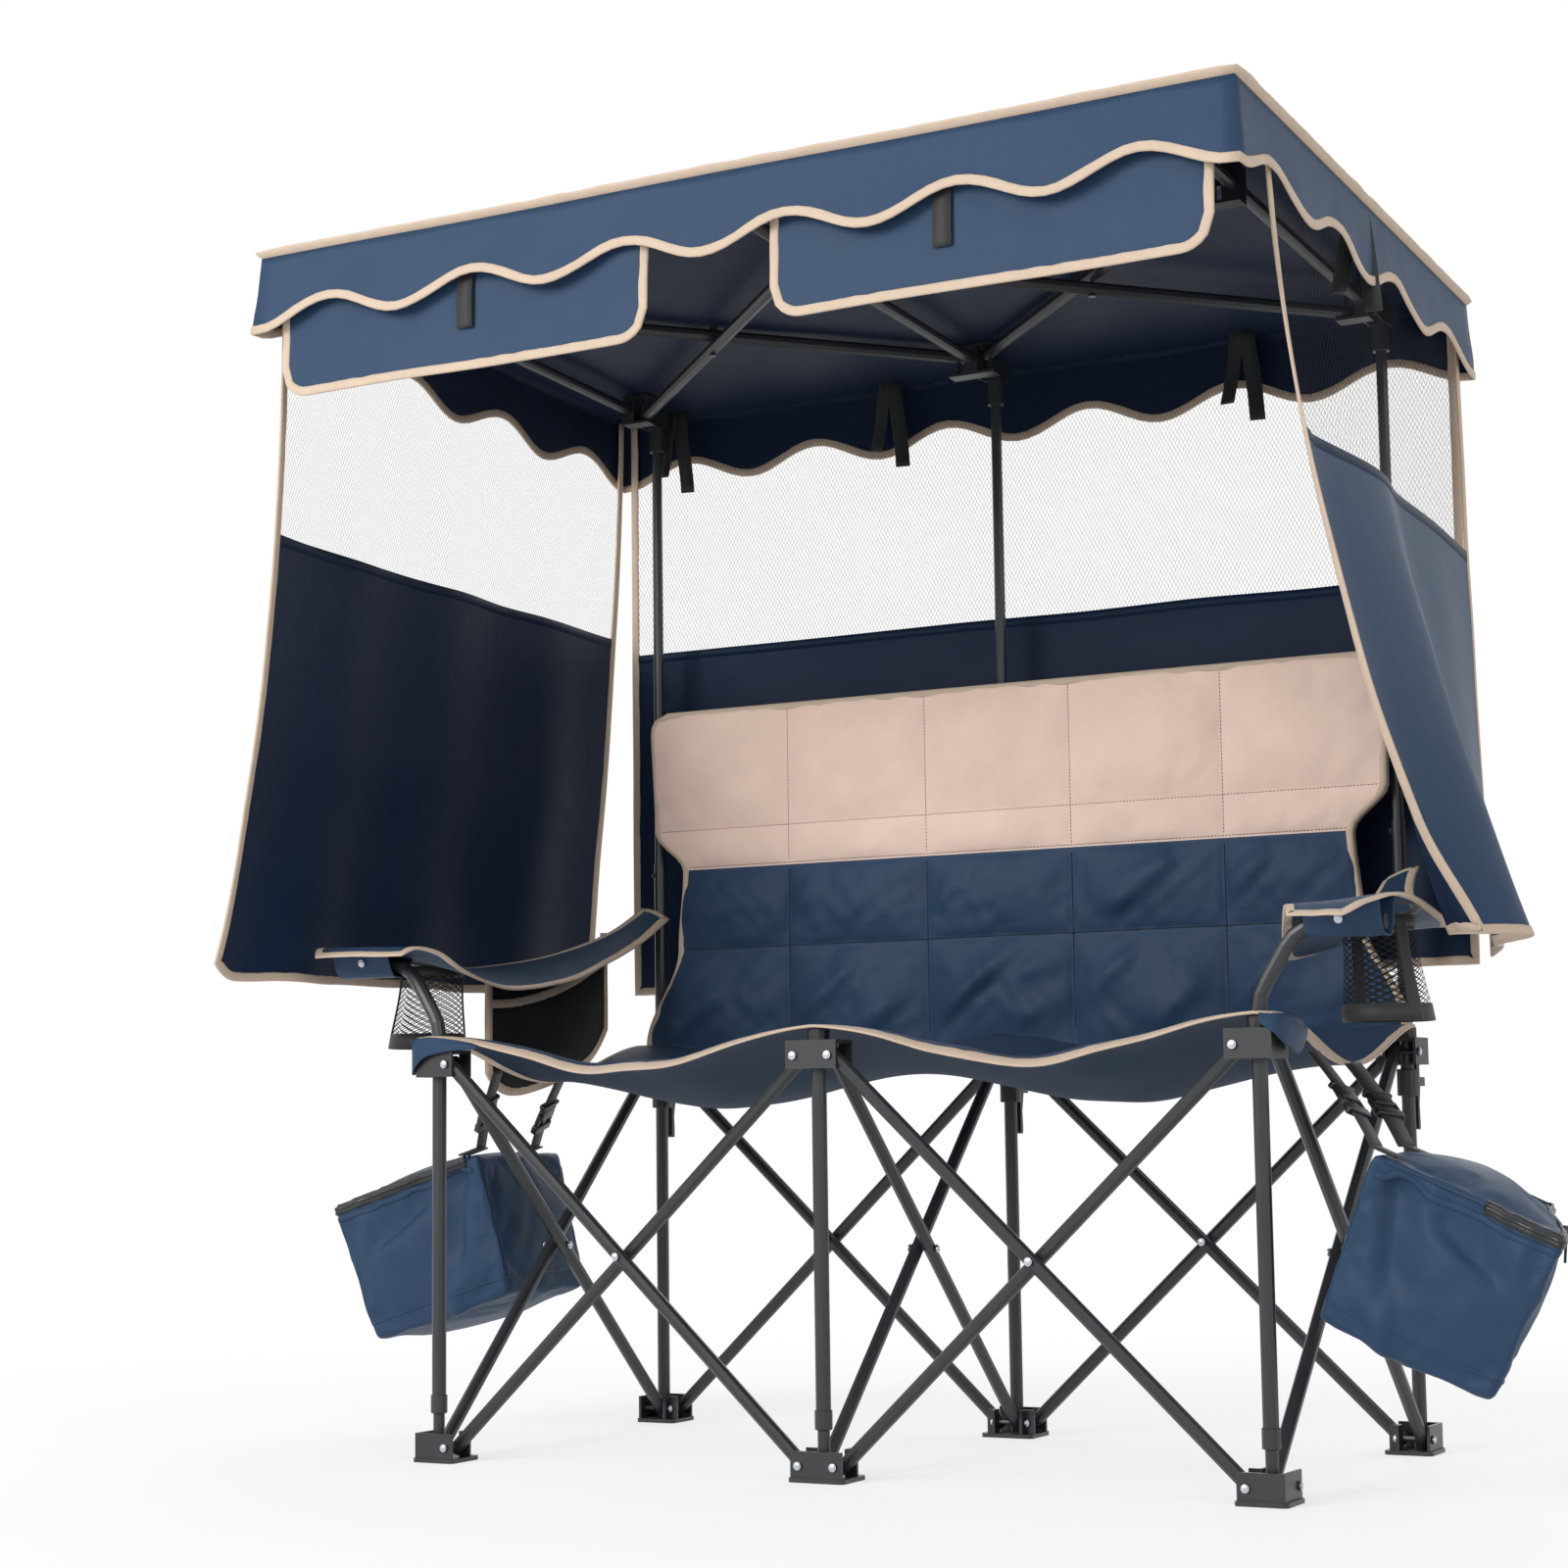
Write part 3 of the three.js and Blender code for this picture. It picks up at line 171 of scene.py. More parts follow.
class LoveseatSizes(bpy.types.PropertyGroup):
    """Sizes of the cloth and trim that a user would change."""

    cloth: length_property("Cloth", "Thickness of the cover and wall cloth", 0.0012)
    sling: length_property("Sling", "Thickness of the doubled seat and arm cloth", 0.003)
    tape: length_property("Binding", "Width of the folded binding on each face of an edge", 0.0095)
    netting: length_property(
        "Netting", "Distance between the wall net's strands, coarser than the real to show", 0.0046)
    cup_netting: length_property(
        "Cup Netting", "Distance between the strands of the cup holders' netting", 0.0062)
    webbing: length_property("Webbing", "Width of the bag straps", 0.025)
    thread: length_property(
        "Thread", "Weave spacing, drawn twice as coarse as the real one so that it shows", 0.0014)
    pad_puff: length_property("Pad Puff", "Furthest that the backrest's pads swell", 0.010)
    bag_puff: length_property("Bag Puff", "Furthest that a cooler bag's sides swell", 0.010)


class LoveseatColours(bpy.types.PropertyGroup):
    """Colours of the finishes that a user would change."""

    navy: colour_property("Navy", "Outer cloth", "2A3F59")
    reverse: colour_property("Reverse", "Coated reverse of the cloth", "10213A")
    tan: colour_property("Tan", "Upper backrest cloth", "EACDBE")
    tape: colour_property("Binding", "Folded edge binding", "D2BCA6")
    black: colour_property("Black", "Netting, webbing and zips", "17181A")
    steel: colour_property("Frame", "Powder coat of the frame tubes", "2A2C2F")
    plastic: colour_property("Plastic", "Moulded hubs, feet, levers and buckles", "1D1E20")
    zinc: colour_property("Rivets", "Zinc plated rivets", "C9CDD2")
    floor: colour_property("Floor", "Studio floor", "FBFBFB")


# Small tools

def sizes():
    return bpy.context.scene.loveseat_sizes


def colours():
    return bpy.context.scene.loveseat_colours


def spot(x, y, z):
    """A place in millimetres from between the legs, as a point in the row frame."""
    return MIDDLE + Vector((x, y, z)) / 1000


def roof(x, y, rise):
    """A place on the sloping roof: across, back from the rib hinges, and above the rib axes."""
    cos, sin = math.cos(ROOF_SLOPE), math.sin(ROOF_SLOPE)
    return (x, HINGE_Y + y * cos - rise * sin, HINGE_Z + y * sin + rise * cos)


def under_cover(y):
    """Height of the cover's inner face at a depth."""
    return HINGE_Z + COVER_INSIDE / math.cos(ROOF_SLOPE) + (y - HINGE_Y) * math.tan(ROOF_SLOPE)


def mix(a, b, share):
    return a + (b - a) * share


def clamp(value, least=0.0, most=1.0):
    return max(least, min(most, value))


def shares(count):
    """Even shares from 0 to 1."""
    return [k / count for k in range(count + 1)]


def ease(share):
    share = clamp(share)
    return share * share * (3 - 2 * share)


def between(stations, values, at):
    """Eased value at a place among falling stations."""
    for k in range(len(stations) - 1):
        share = (at - stations[k]) / (stations[k + 1] - stations[k])
        if 0 <= share <= 1:
            return mix(values[k], values[k + 1], ease(share))
    return values[0] if at > stations[0] else values[-1]


def ripple(a, b, size, seed):
    """Smooth waves from -1 to 1 that are the same in each run."""
    return noise.noise(Vector((a / size, b / size, seed)))


def curve_at(points, share):
    """A point on the smooth curve through evenly counted points."""
    last = len(points) - 1
    at = clamp(share) * last
    k = min(int(at), last - 1)
    t = at - k
    near = [points[clamp(k + step, 0, last)] for step in (-1, 0, 1, 2)]
    return tuple(
        0.5 * (2 * b + (c - a) * t + (2 * a - 5 * b + 4 * c - d) * t ** 2
               + (3 * b - a - 3 * c + d) * t ** 3)
        for a, b, c, d in zip(*near))


def loft(name, rows, around=False, loop=False, ends=False):
    """A mesh piece between rows of points, with its UV map in metres along and across the rows."""
    count = len(rows[0])
    total = len(rows)
    spans = count if around else count - 1
    steps = total if loop else total - 1
    along, across = [0.0], [0.0]
    for j in range(steps):
        reach = sum((rows[(j + 1) % total][i] - rows[j][i]).length for i in range(count)) / count
        along.append(along[-1] + reach)
    for i in range(spans):
        across.append(across[-1] + (rows[0][(i + 1) % count] - rows[0][i]).length)
    faces, corners = [], []
    for j in range(steps):
        for i in range(spans):
            near, far = j * count, (j + 1) % total * count
            k = (i + 1) % count
            faces.append((near + i, near + k, far + k, far + i))
            corners += [(along[j], across[i]), (along[j], across[i + 1]),
                        (along[j + 1], across[i + 1]), (along[j + 1], across[i])]
    if ends:
        faces.append(tuple(range(count))[::-1])
        faces.append(tuple(range((total - 1) * count, total * count)))
        corners += [(0.0, 0.0)] * (2 * count)
    mesh = bpy.data.meshes.new(name)
    mesh.from_pydata([p for row in rows for p in row], [], faces)
    layer = mesh.uv_layers.new(name="UVMap")
    layer.uv.foreach_set("vector", [value for corner in corners for value in corner])
    mesh.polygons.foreach_set("use_smooth", [True] * len(faces))
    piece = bpy.data.objects.new(name, mesh)
    bpy.context.scene.collection.objects.link(piece)
    if around or loop:
        outward(piece)
    return piece


def outward(piece):
    """Faces of a closed shell point outwards."""
    shell = bmesh.new()
    shell.from_mesh(piece.data)
    bmesh.ops.recalc_face_normals(shell, faces=shell.faces)
    shell.to_mesh(piece.data)
    shell.free()


def cloth_sheet(name, columns, rows, surface, flat):
    """A grid laid on a surface given in millimetres, with a UV map in metres of flat cloth."""
    bpy.ops.object.select_all(action="DESELECT")
    bpy.ops.mesh.primitive_grid_add(x_subdivisions=columns, y_subdivisions=rows, size=1.0)
    piece = bpy.context.object
    piece.name = name
    piece.data.name = name
    for vertex in piece.data.vertices:
        vertex.co = spot(*surface(vertex.co.x + 0.5, vertex.co.y + 0.5))
    for corner in piece.data.uv_layers.active.uv:
        corner.vector = (corner.vector.x * flat[0], corner.vector.y * flat[1])
    piece.data.polygons.foreach_set("use_smooth", [True] * len(piece.data.polygons))
    return piece


def only(piece):
    """Selects one piece and makes it the active one."""
    bpy.ops.object.select_all(action="DESELECT")
    piece.select_set(True)
    bpy.context.view_layer.objects.active = piece


def apply_modifier(piece, kind, **settings):
    only(piece)
    modifier = piece.modifiers.new(kind.lower(), kind)
    for key, value in settings.items():
        setattr(modifier, key, value)
    bpy.ops.object.modifier_apply(modifier=modifier.name)
    return piece


def paint(piece, *names):
    """Gives a piece its finishes, by their names."""
    piece.data.materials.clear()
    for name in names:
        piece.data.materials.append(finish(name))
    return piece


def thicken(piece, thickness, front="navy_oxford", back="navy_oxford", offset=0.0):
    """Gives a sheet its thickness, with a finish on each face."""
    paint(piece, front, back)
    return apply_modifier(
        piece, "SOLIDIFY", thickness=thickness, offset=offset, use_even_offset=True,
        material_offset=1, material_offset_rim=0)


def drill(piece, place, radius, vertices):
    """Cuts a round upright hole through a piece."""
    bpy.ops.object.select_all(action="DESELECT")
    bpy.ops.mesh.primitive_cylinder_add(
        vertices=vertices, radius=radius, depth=DRILL_DEPTH, location=place)
    cutter = bpy.context.object
    apply_modifier(piece, "BOOLEAN", operation="DIFFERENCE", object=cutter, solver="EXACT")
    bpy.data.objects.remove(cutter)


def merge(pieces, name):
    """Joins pieces into one, under the given name."""
    only(pieces[0])
    for piece in pieces:
        piece.select_set(True)
    if len(pieces) > 1:
        bpy.ops.object.join()
    joined = bpy.context.object
    joined.name = name
    joined.data.name = name
    return joined


def fit(piece, body, fold=None, stands_for=()):
    """Sets a finished piece on its CAD body."""
    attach(piece, body)
    if stands_for:
        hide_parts(*stands_for)
    if fold:
        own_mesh(piece)
    return piece


TAPE_SECTION = (
    (1.0, 0.5), (0.85, 0.95), (0.45, 1.0), (0.08, 0.95), (-0.12, 0.5),
    (-0.12, -0.5), (0.08, -0.95), (0.45, -1.0), (0.85, -0.95), (1.0, -0.5),
)
TAPE_HALF = 0.0019
TAPE_PUCKER = 0.12
HUNG_SIDES = ("left", "bottom", "right")
STANDING_SIDES = ("left_up", "front", "right_down")
DRILL_DEPTH = 0.08


def binding(name, edge, inside, width=None, loop=False, half=TAPE_HALF):
    """A folded tape sewn over a cloth edge; each edge point has a point just inside the cloth."""
    width = width or sizes().tape
    rows = []
    last = len(edge) - 1
    for k, point in enumerate(edge):
        before = edge[k - 1] if k or loop else point
        after = edge[(k + 1) % len(edge)] if k < last or loop else point
        along = (after - before).normalized()
        into = inside[k] - point
        into = (into - along * into.dot(along)).normalized()
        up = along.cross(into).normalized()
        pucker = 1 + TAPE_PUCKER * ripple(k, 0.0, 2.3, len(edge))
        rows.append([point + into * (a * width * pucker) + up * (b * half)
                     for a, b in TAPE_SECTION])
    piece = loft(name, rows, around=True, loop=loop, ends=not loop)
    return paint(piece, "bias_tape")


def edge_route(sides, steps):
    """Places round a sheet's edge, as (u, v, inner u, inner v), for sides named in order."""
    inner = 0.02
    route = []
    for side, count in zip(sides, steps):
        for k, share in enumerate(shares(count)):
            u, v = {"left": (0, share), "bottom": (share, 1), "right": (1, 1 - share),
                    "left_up": (0, 1 - share), "front": (share, 0), "right_down": (1, share),
                    "rear": (1 - share, 1)}[side]
            if route and k == 0:
                route[-1] = (u, v, mix(inner, 1 - inner, u), mix(inner, 1 - inner, v))
            elif side in ("bottom", "front", "rear"):
                route.append((u, v, u, abs(v - inner)))
            else:
                route.append((u, v, abs(u - inner), v))
    return route


def bind_sheet(name, surface, sides, steps, loop=False, width=None, half=TAPE_HALF):
    """Binds the named sides of a sheet in one run of tape."""
    route = edge_route(sides, steps)
    if loop:
        route = route[:-1]
    edge = [spot(*surface(u, v)) for u, v, _, _ in route]
    inside = [spot(*surface(u, v)) for _, _, u, v in route]
    return binding(name, edge, inside, width, loop, half)


STRAP_SECTION = ((0.94, 1), (1, 0), (0.94, -1), (-0.94, -1), (-1, 0), (-0.94, 1))


def strap(name, points, width, thickness, sideways, colour="webbing"):
    """A flat strap along points, lying across a sideways direction."""
    side = Vector(sideways).normalized() * (width / 2)
    rows = []
    for k, point in enumerate(points):
        along = (points[min(k + 1, len(points) - 1)] - points[max(k - 1, 0)]).normalized()
        up = along.cross(side).normalized() * (thickness / 2)
        rows.append([point + side * a + up * b for a, b in STRAP_SECTION])
    return paint(loft(name, rows, around=True, ends=True), colour)


def stitch_row(points, normals, spacing=0.0046, length=0.0038, width=0.0014):
    """Rows of points and short thread lozenges along a seam, as lists of vertices and faces."""
    verts, faces = [], []
    carried = 0.0
    for k in range(len(points) - 1):
        span = points[k + 1] - points[k]
        along = span.normalized()
        at = -carried
        while at + spacing <= span.length:
            at += spacing
            middle = points[k] + along * at
            up = normals[k].normalized()
            side = along.cross(up).normalized()
            first = len(verts)
            verts += [middle + way for way in (
                -along * length / 2, side * width / 2, along * length / 2, -side * width / 2,
                up * width * 0.6, -up * width * 0.6)]
            for ring in (4, 5):
                for a, b in ((0, 1), (1, 2), (2, 3), (3, 0)):
                    corner = (first + a, first + b, first + ring)
                    faces.append(corner if ring == 4 else corner[::-1])
        carried = span.length - at if at > 0 else carried + span.length
    return verts, faces


def stitching(name, rows, colour, **thread):
    """One piece of thread from several stitched seams."""
    verts, faces = [], []
    for points, normals in rows:
        more, sides = stitch_row(points, normals, **thread)
        faces += [tuple(len(verts) + k for k in side) for side in sides]
        verts += more
    mesh = bpy.data.meshes.new(name)
    mesh.from_pydata(verts, [], faces)
    piece = bpy.data.objects.new(name, mesh)
    bpy.context.scene.collection.objects.link(piece)
    return paint(piece, colour)


def swell(piece, pressure, furthest, held="", slack=0.0, frames=20):
    """Puffs a closed shell with a Cloth simulation, gravity off, scaled to a furthest move."""
    start = [vertex.co.copy() for vertex in piece.data.vertices]
    only(piece)
    cloth = piece.modifiers.new("swell", "CLOTH")
    for key, value in {
            "quality": 6, "use_pressure": True, "uniform_pressure_force": pressure,
            "vertex_group_mass": held, "shrink_min": -slack, "tension_stiffness": 12,
            "compression_stiffness": 12, "bending_stiffness": 0.4}.items():
        setattr(cloth.settings, key, value)
    cloth.settings.effector_weights.gravity = 0
    cloth.collision_settings.use_collision = False
    cloth.point_cache.frame_end = frames
    for number in range(1, frames + 1):
        bpy.context.scene.frame_set(number)
    bpy.ops.object.modifier_apply(modifier=cloth.name)
    bpy.context.scene.frame_set(1)
    most = max((vertex.co - was).length for vertex, was in zip(piece.data.vertices, start))
    for vertex, was in zip(piece.data.vertices, start):
        vertex.co = was.lerp(vertex.co, min(1.0, furthest / most))


# Finishes, each from what the real surface is

WAVE_PERIOD = math.pi / 10  # a wave texture of scale 1 repeats after this length
NET_SLANT = 28  # degrees between a net's strands and the cloth's length
FINISHES = {}


def set_inputs(tree, node, inputs):
    """Sets a node's inputs, or links them."""
    for key, value in inputs.items():
        if isinstance(value, bpy.types.NodeSocket):
            tree.links.new(value, node.inputs[key])
        else:
            node.inputs[key].default_value = value
    return node


def add_node(tree, kind, inputs=None, **settings):
    """A shader node with its settings, and its inputs set or linked."""
    made = tree.nodes.new(kind)
    for key, value in settings.items():
        setattr(made, key, value)
    return set_inputs(tree, made, inputs or {})


def per_metre(size):
    """How often a pattern of a size in millimetres repeats in a metre."""
    return 1000 / size


def shade(colour, amount):
    return [min(1.0, c * amount) for c in colour[:3]] + [1.0]


def new_finish(name, inputs):
    material = bpy.data.materials.new(name)
    material.use_nodes = True
    FINISHES[name] = material
    tree = material.node_tree
    return tree, set_inputs(tree, tree.nodes["Principled BSDF"], inputs)


def oxford(name, colour, roughness, sheen):
    """Oxford polyester, plain woven and coated: soft sheen, mottling, small creases, fine weave."""
    tree, shader = new_finish(name, {
        "Sheen Weight": sheen, "Sheen Roughness": 0.5, "Specular IOR Level": 0.15})
    uv = add_node(tree, "ShaderNodeTexCoord").outputs["UV"]
    thread = WAVE_PERIOD / sizes().thread
    warp, weft = (add_node(tree, "ShaderNodeTexWave", {"Vector": uv, "Scale": thread},
                           bands_direction=way) for way in "XY")
    weave = add_node(tree, "ShaderNodeMath", {0: warp.outputs["Fac"], 1: weft.outputs["Fac"]},
                     operation="MULTIPLY")
    cloud = add_node(tree, "ShaderNodeTexNoise", {
        "Vector": uv, "Scale": per_metre(71.43), "Detail": 5.0})
    crease = add_node(tree, "ShaderNodeTexNoise", {
        "Vector": uv, "Scale": per_metre(26.32), "Detail": 3.0, "Roughness": 0.55,
        "Distortion": 0.6})
    tone = add_node(tree, "ShaderNodeMix", {
        0: cloud.outputs["Fac"], 6: shade(colour, 0.84), 7: shade(colour, 1.16)}, data_type="RGBA")
    fleck = add_node(tree, "ShaderNodeMix", {
        0: weave.outputs[0], 6: tone.outputs[2], 7: shade(colour, 1.22)}, data_type="RGBA")
    gloss = add_node(tree, "ShaderNodeMapRange", {
        "Value": cloud.outputs["Fac"], "To Min": roughness - 0.06, "To Max": roughness + 0.06})
    fine = add_node(tree, "ShaderNodeBump", {
        "Height": weave.outputs[0], "Strength": 0.35, "Distance": 0.0003})
    bump = add_node(tree, "ShaderNodeBump", {
        "Height": crease.outputs["Fac"], "Strength": 0.35, "Distance": 0.0022,
        "Normal": fine.outputs["Normal"]})
    set_inputs(tree, shader, {
        "Base Color": fleck.outputs[2], "Roughness": gloss.outputs["Result"],
        "Normal": bump.outputs["Normal"]})


def grosgrain(name, colour, rib, roughness):
    """Woven tape: worn tones and ribs across it, coarser than the real ones so that they show."""
    tree, shader = new_finish(name, {
        "Sheen Weight": 0.15, "Sheen Roughness": 0.5, "IOR": 1.5, "Roughness": roughness})
    uv = add_node(tree, "ShaderNodeTexCoord").outputs["UV"]
    ribs = add_node(tree, "ShaderNodeTexWave", {"Vector": uv, "Scale": WAVE_PERIOD / rib},
                    bands_direction="X")
    worn = add_node(tree, "ShaderNodeTexNoise", {
        "Vector": uv, "Scale": per_metre(22.22), "Detail": 4.0})
    base = add_node(tree, "ShaderNodeMix", {
        0: worn.outputs["Fac"], 6: shade(colour, 0.8), 7: shade(colour, 1.14)}, data_type="RGBA")
    tone = add_node(tree, "ShaderNodeMix", {
        0: ribs.outputs["Fac"], 6: shade(colour, 0.86), 7: base.outputs[2]}, data_type="RGBA")
    bump = add_node(tree, "ShaderNodeBump", {
        "Height": ribs.outputs["Fac"], "Strength": 0.5, "Distance": 0.0004})
    set_inputs(tree, shader, {"Base Color": tone.outputs[2], "Normal": bump.outputs["Normal"]})


def diamond_net(name, colour, pitch, strand):
    """Knotless net: two crossing families of thin strands, open between them."""
    tree, shader = new_finish(name, {"Roughness": 0.7, "Specular IOR Level": 0.2})
    uv = add_node(tree, "ShaderNodeTexCoord").outputs["UV"]
    strands = []
    for slant in (math.radians(NET_SLANT), -math.radians(NET_SLANT)):
        aim = Vector((math.cos(slant), math.sin(slant), 0)) / pitch
        run = add_node(tree, "ShaderNodeVectorMath", {0: uv, 1: aim}, operation="DOT_PRODUCT")
        off = add_node(tree, "ShaderNodeMath", {0: run.outputs["Value"], 1: 0.5},
                       operation="PINGPONG")
        near = add_node(tree, "ShaderNodeMath", {0: off.outputs[0], 1: strand / pitch / 2},
                        operation="LESS_THAN")
        strands.append(near.outputs[0])
    knit = add_node(tree, "ShaderNodeMath", dict(enumerate(strands)), operation="MAXIMUM")
    fuzz = add_node(tree, "ShaderNodeTexNoise", {"Vector": uv, "Scale": per_metre(11.11)})
    tone = add_node(tree, "ShaderNodeMix", {
        0: fuzz.outputs["Fac"], 6: shade(colour, 0.7), 7: shade(colour, 1.5)}, data_type="RGBA")
    set_inputs(tree, shader, {"Alpha": knit.outputs[0], "Base Color": tone.outputs[2]})


# Hard surfaces, with the sizes of their clouding and grain in millimetres
HARD_FINISHES = {
    # Matt powder coat on drawn steel tube: fine orange peel, and tones rubbed along the tube
    "powder_coated_steel": {
        "inputs": {"IOR": 1.5}, "cloud": (45.45, 5.0), "pale": 1.2, "gloss": (0.28, 0.42),
        "grain": 1.11, "bump": (0.12, 0.0003)},
    # Moulded nylon: an even spark-eroded grain, drawn coarser to show, and paler where it is rubbed
    "moulded_nylon": {
        "inputs": {"IOR": 1.53}, "cloud": (16.67, 4.0), "pale": 1.3, "gloss": (0.43, 0.57),
        "grain": 0.714, "bump": (0.15, 0.0002)},
    # Moulded acetal: the same grain from a smoother mould
    "buckle_acetal": {
        "inputs": {"IOR": 1.53}, "cloud": (16.67, 4.0), "pale": 1.3, "gloss": (0.29, 0.43),
        "grain": 0.714, "bump": (0.15, 0.0002)},
    # Zinc plated steel: bright and slightly clouded
    "zinc_plate": {
        "inputs": {"Metallic": 1.0}, "cloud": (2.38, 3.0), "pale": 1.1, "gloss": (0.22, 0.42)},
}


def hard_finish(name, colour):
    """A hard surface: tones and gloss that change where it is rubbed, and any grain it has."""
    kind = HARD_FINISHES[name]
    tree, shader = new_finish(name, kind["inputs"])
    place = add_node(tree, "ShaderNodeTexCoord").outputs["Object"]
    size, detail = kind["cloud"]
    rub = add_node(tree, "ShaderNodeTexNoise", {
        "Vector": place, "Scale": per_metre(size), "Detail": detail})
    tone = add_node(tree, "ShaderNodeMix", {
        0: rub.outputs["Fac"], 6: shade(colour, 0.8), 7: shade(colour, kind["pale"])},
        data_type="RGBA")
    least, most = kind["gloss"]
    gloss = add_node(tree, "ShaderNodeMapRange", {
        "Value": rub.outputs["Fac"], "To Min": least, "To Max": most})
    set_inputs(tree, shader, {"Base Color": tone.outputs[2], "Roughness": gloss.outputs["Result"]})
    if "grain" in kind:
        grain = add_node(tree, "ShaderNodeTexNoise", {
            "Vector": place, "Scale": per_metre(kind["grain"]), "Detail": 2.0})
        strength, depth = kind["bump"]
        bump = add_node(tree, "ShaderNodeBump", {
            "Height": grain.outputs["Fac"], "Strength": strength, "Distance": depth})
        set_inputs(tree, shader, {"Normal": bump.outputs["Normal"]})


def make_finishes():
    tint, size = colours(), sizes()
    oxford("navy_oxford", tint.navy, 0.48, 0.02)
    # The sling's underside: the navy darkened to 0.62 with no sheen, painted shade for the shadow
    # under the seat
    oxford("navy_painted_shade_underside", shade(tint.navy, 0.62), 0.65, 0.0)
    oxford("coated_reverse", tint.reverse, 0.5, 0.03)
    oxford("tan_oxford", tint.tan, 0.62, 0.08)
    oxford("black_lining", tint.black, 0.62, 0.05)
    grosgrain("bias_tape", tint.tape, 0.0016, 0.75)
    grosgrain("webbing", tint.black, 0.0021, 0.6)
    grosgrain("zip_tape", shade(tint.black, 0.8), 0.0026, 0.45)
    # Thread drawn very dark: partly the thread, partly painted shade in the sewn seam grooves of
    # the backrest
    grosgrain("dark_thread_and_seam_shade", shade(tint.tan, 0.12), 0.0016, 0.7)
    grosgrain("navy_thread_and_seam_shade", shade(tint.navy, 0.22), 0.0016, 0.7)
    diamond_net("wall_net", tint.black, size.netting, 0.00032)
    diamond_net("cup_net", tint.black, size.cup_netting, 0.0011)
    hard_finish("powder_coated_steel", tint.steel)
    hard_finish("moulded_nylon", tint.plastic)
    hard_finish("buckle_acetal", shade(tint.plastic, 0.8))
    hard_finish("zinc_plate", tint.zinc)


def finish(name):
    if name not in FINISHES:
        make_finishes()
    return FINISHES[name]


# Canopy

def skirt_drop(step):
    return SKIRT_MEAN + SKIRT_WAVE * math.cos(2 * math.pi * step)


def cover_loop(fine):
    """Places round the cover: across and along shares, scallop phase, and the way out."""
    across, along = SCALLOPS["across"] * fine, SCALLOPS["along"] * fine
    loop = [(i / across, 0.0, i / fine, (0, -1)) for i in range(across)]
    loop += [(1.0, j / along, j / fine, (1, 0)) for j in range(along)]
    loop += [(i / across, 1.0, i / fine, (0, 1)) for i in range(across, 0, -1)]
    loop += [(0.0, j / along, j / fine, (-1, 0)) for j in range(along, 0, -1)]
    corners = {(0.0, 0.0): (-1, -1), (1.0, 0.0): (1, -1), (1.0, 1.0): (1, 1), (0.0, 1.0): (-1, 1)}
    return [(u, v, phase, corners.get((u, v), way)) for u, v, phase, way in loop]


def cover_place(u, v):
    return mix(-COVER_HALF, COVER_HALF, u), mix(COVER_FRONT, COVER_BACK, v)


def cover_sag(x):
    return COVER_SAG * math.sin(math.pi * clamp(abs(x) / BAY)) ** 2


def cover_top(u, v):
    """The tight top sags a little between its ribs."""
    x, y = cover_place(u, v)
    sag = cover_sag(x) * mix(EDGE_SAG, 1.0, math.sin(math.pi * v))
    crease = 0.5 * ripple(x, y, 70.0, 1.7) * math.sin(math.pi * v) * math.sin(math.pi * u)
    return roof(x, y, COVER_TOP - sag + crease)


def skirt_at(place, share):
    """A point on the hanging skirt, from the top edge down to its scalloped hem."""
    u, v, phase, way = place
    x, y = cover_place(u, v)
    round_it = x if way[1] else y
    billow = 2.4 * ripple(round_it, way[0] * 40.0 + way[1] * 90.0, 95.0, 4.2)
    billow += 1.6 * math.cos(2 * math.pi * phase)
    billow += 2.0 * ripple(round_it + 50 * share, way[0] * 40.0 + 90 * share, 46.0, 8.5)
    away = SKIRT_FLARE * share + billow * ease(share)
    edge = cover_sag(x) * EDGE_SAG if way[1] else 0.0
    return roof(x + way[0] * away, y + way[1] * away,
                COVER_TOP - edge * (1 - share) - skirt_drop(phase) * share)


def flap_surface(side):
    """A short front flap behind the skirt, with round lower corners."""
    def surface(u, v):
        x = side * mix(*(FLAP_EDGES if side > 0 else FLAP_EDGES[::-1]), u)
        near = min(abs(abs(x) - edge) for edge in FLAP_EDGES)
        short = max(0.0, FLAP_CORNER - near)
        drop = FLAP_DROP - FLAP_CORNER + math.sqrt(max(FLAP_CORNER ** 2 - short ** 2, 0.0))
        swing = 3.0 * v * ripple(x, 0.0, 120.0, 7.0 + side) + 1.5 * v * math.sin(x / 55.0)
        swing += 1.8 * math.sin(math.pi * v) * ripple(x + 60 * v, drop * v, 44.0, 3.0 + side)
        return roof(x, COVER_FRONT + FLAP_INSET + swing, COVER_INSIDE - 1 - (drop - 2) * v)
    return surface


SCALLOP_STEPS = 14
SKIRT_STEPS = 8
FELLED_SEAM = (0.014, 0.0009)  # widths and thicknesses of flat tapes, in metres
FLAP_TIE = (0.022, 0.0022)
ROLL_UP_TIE = (0.02, 0.0018)
PIPING = {"sunk": -0.0005, "out": 0.01, "wide": 0.0095, "half": 0.0016}
TIE_PLACES = ((-500, 285), (-170, 296), (330, 298), (594, -60))


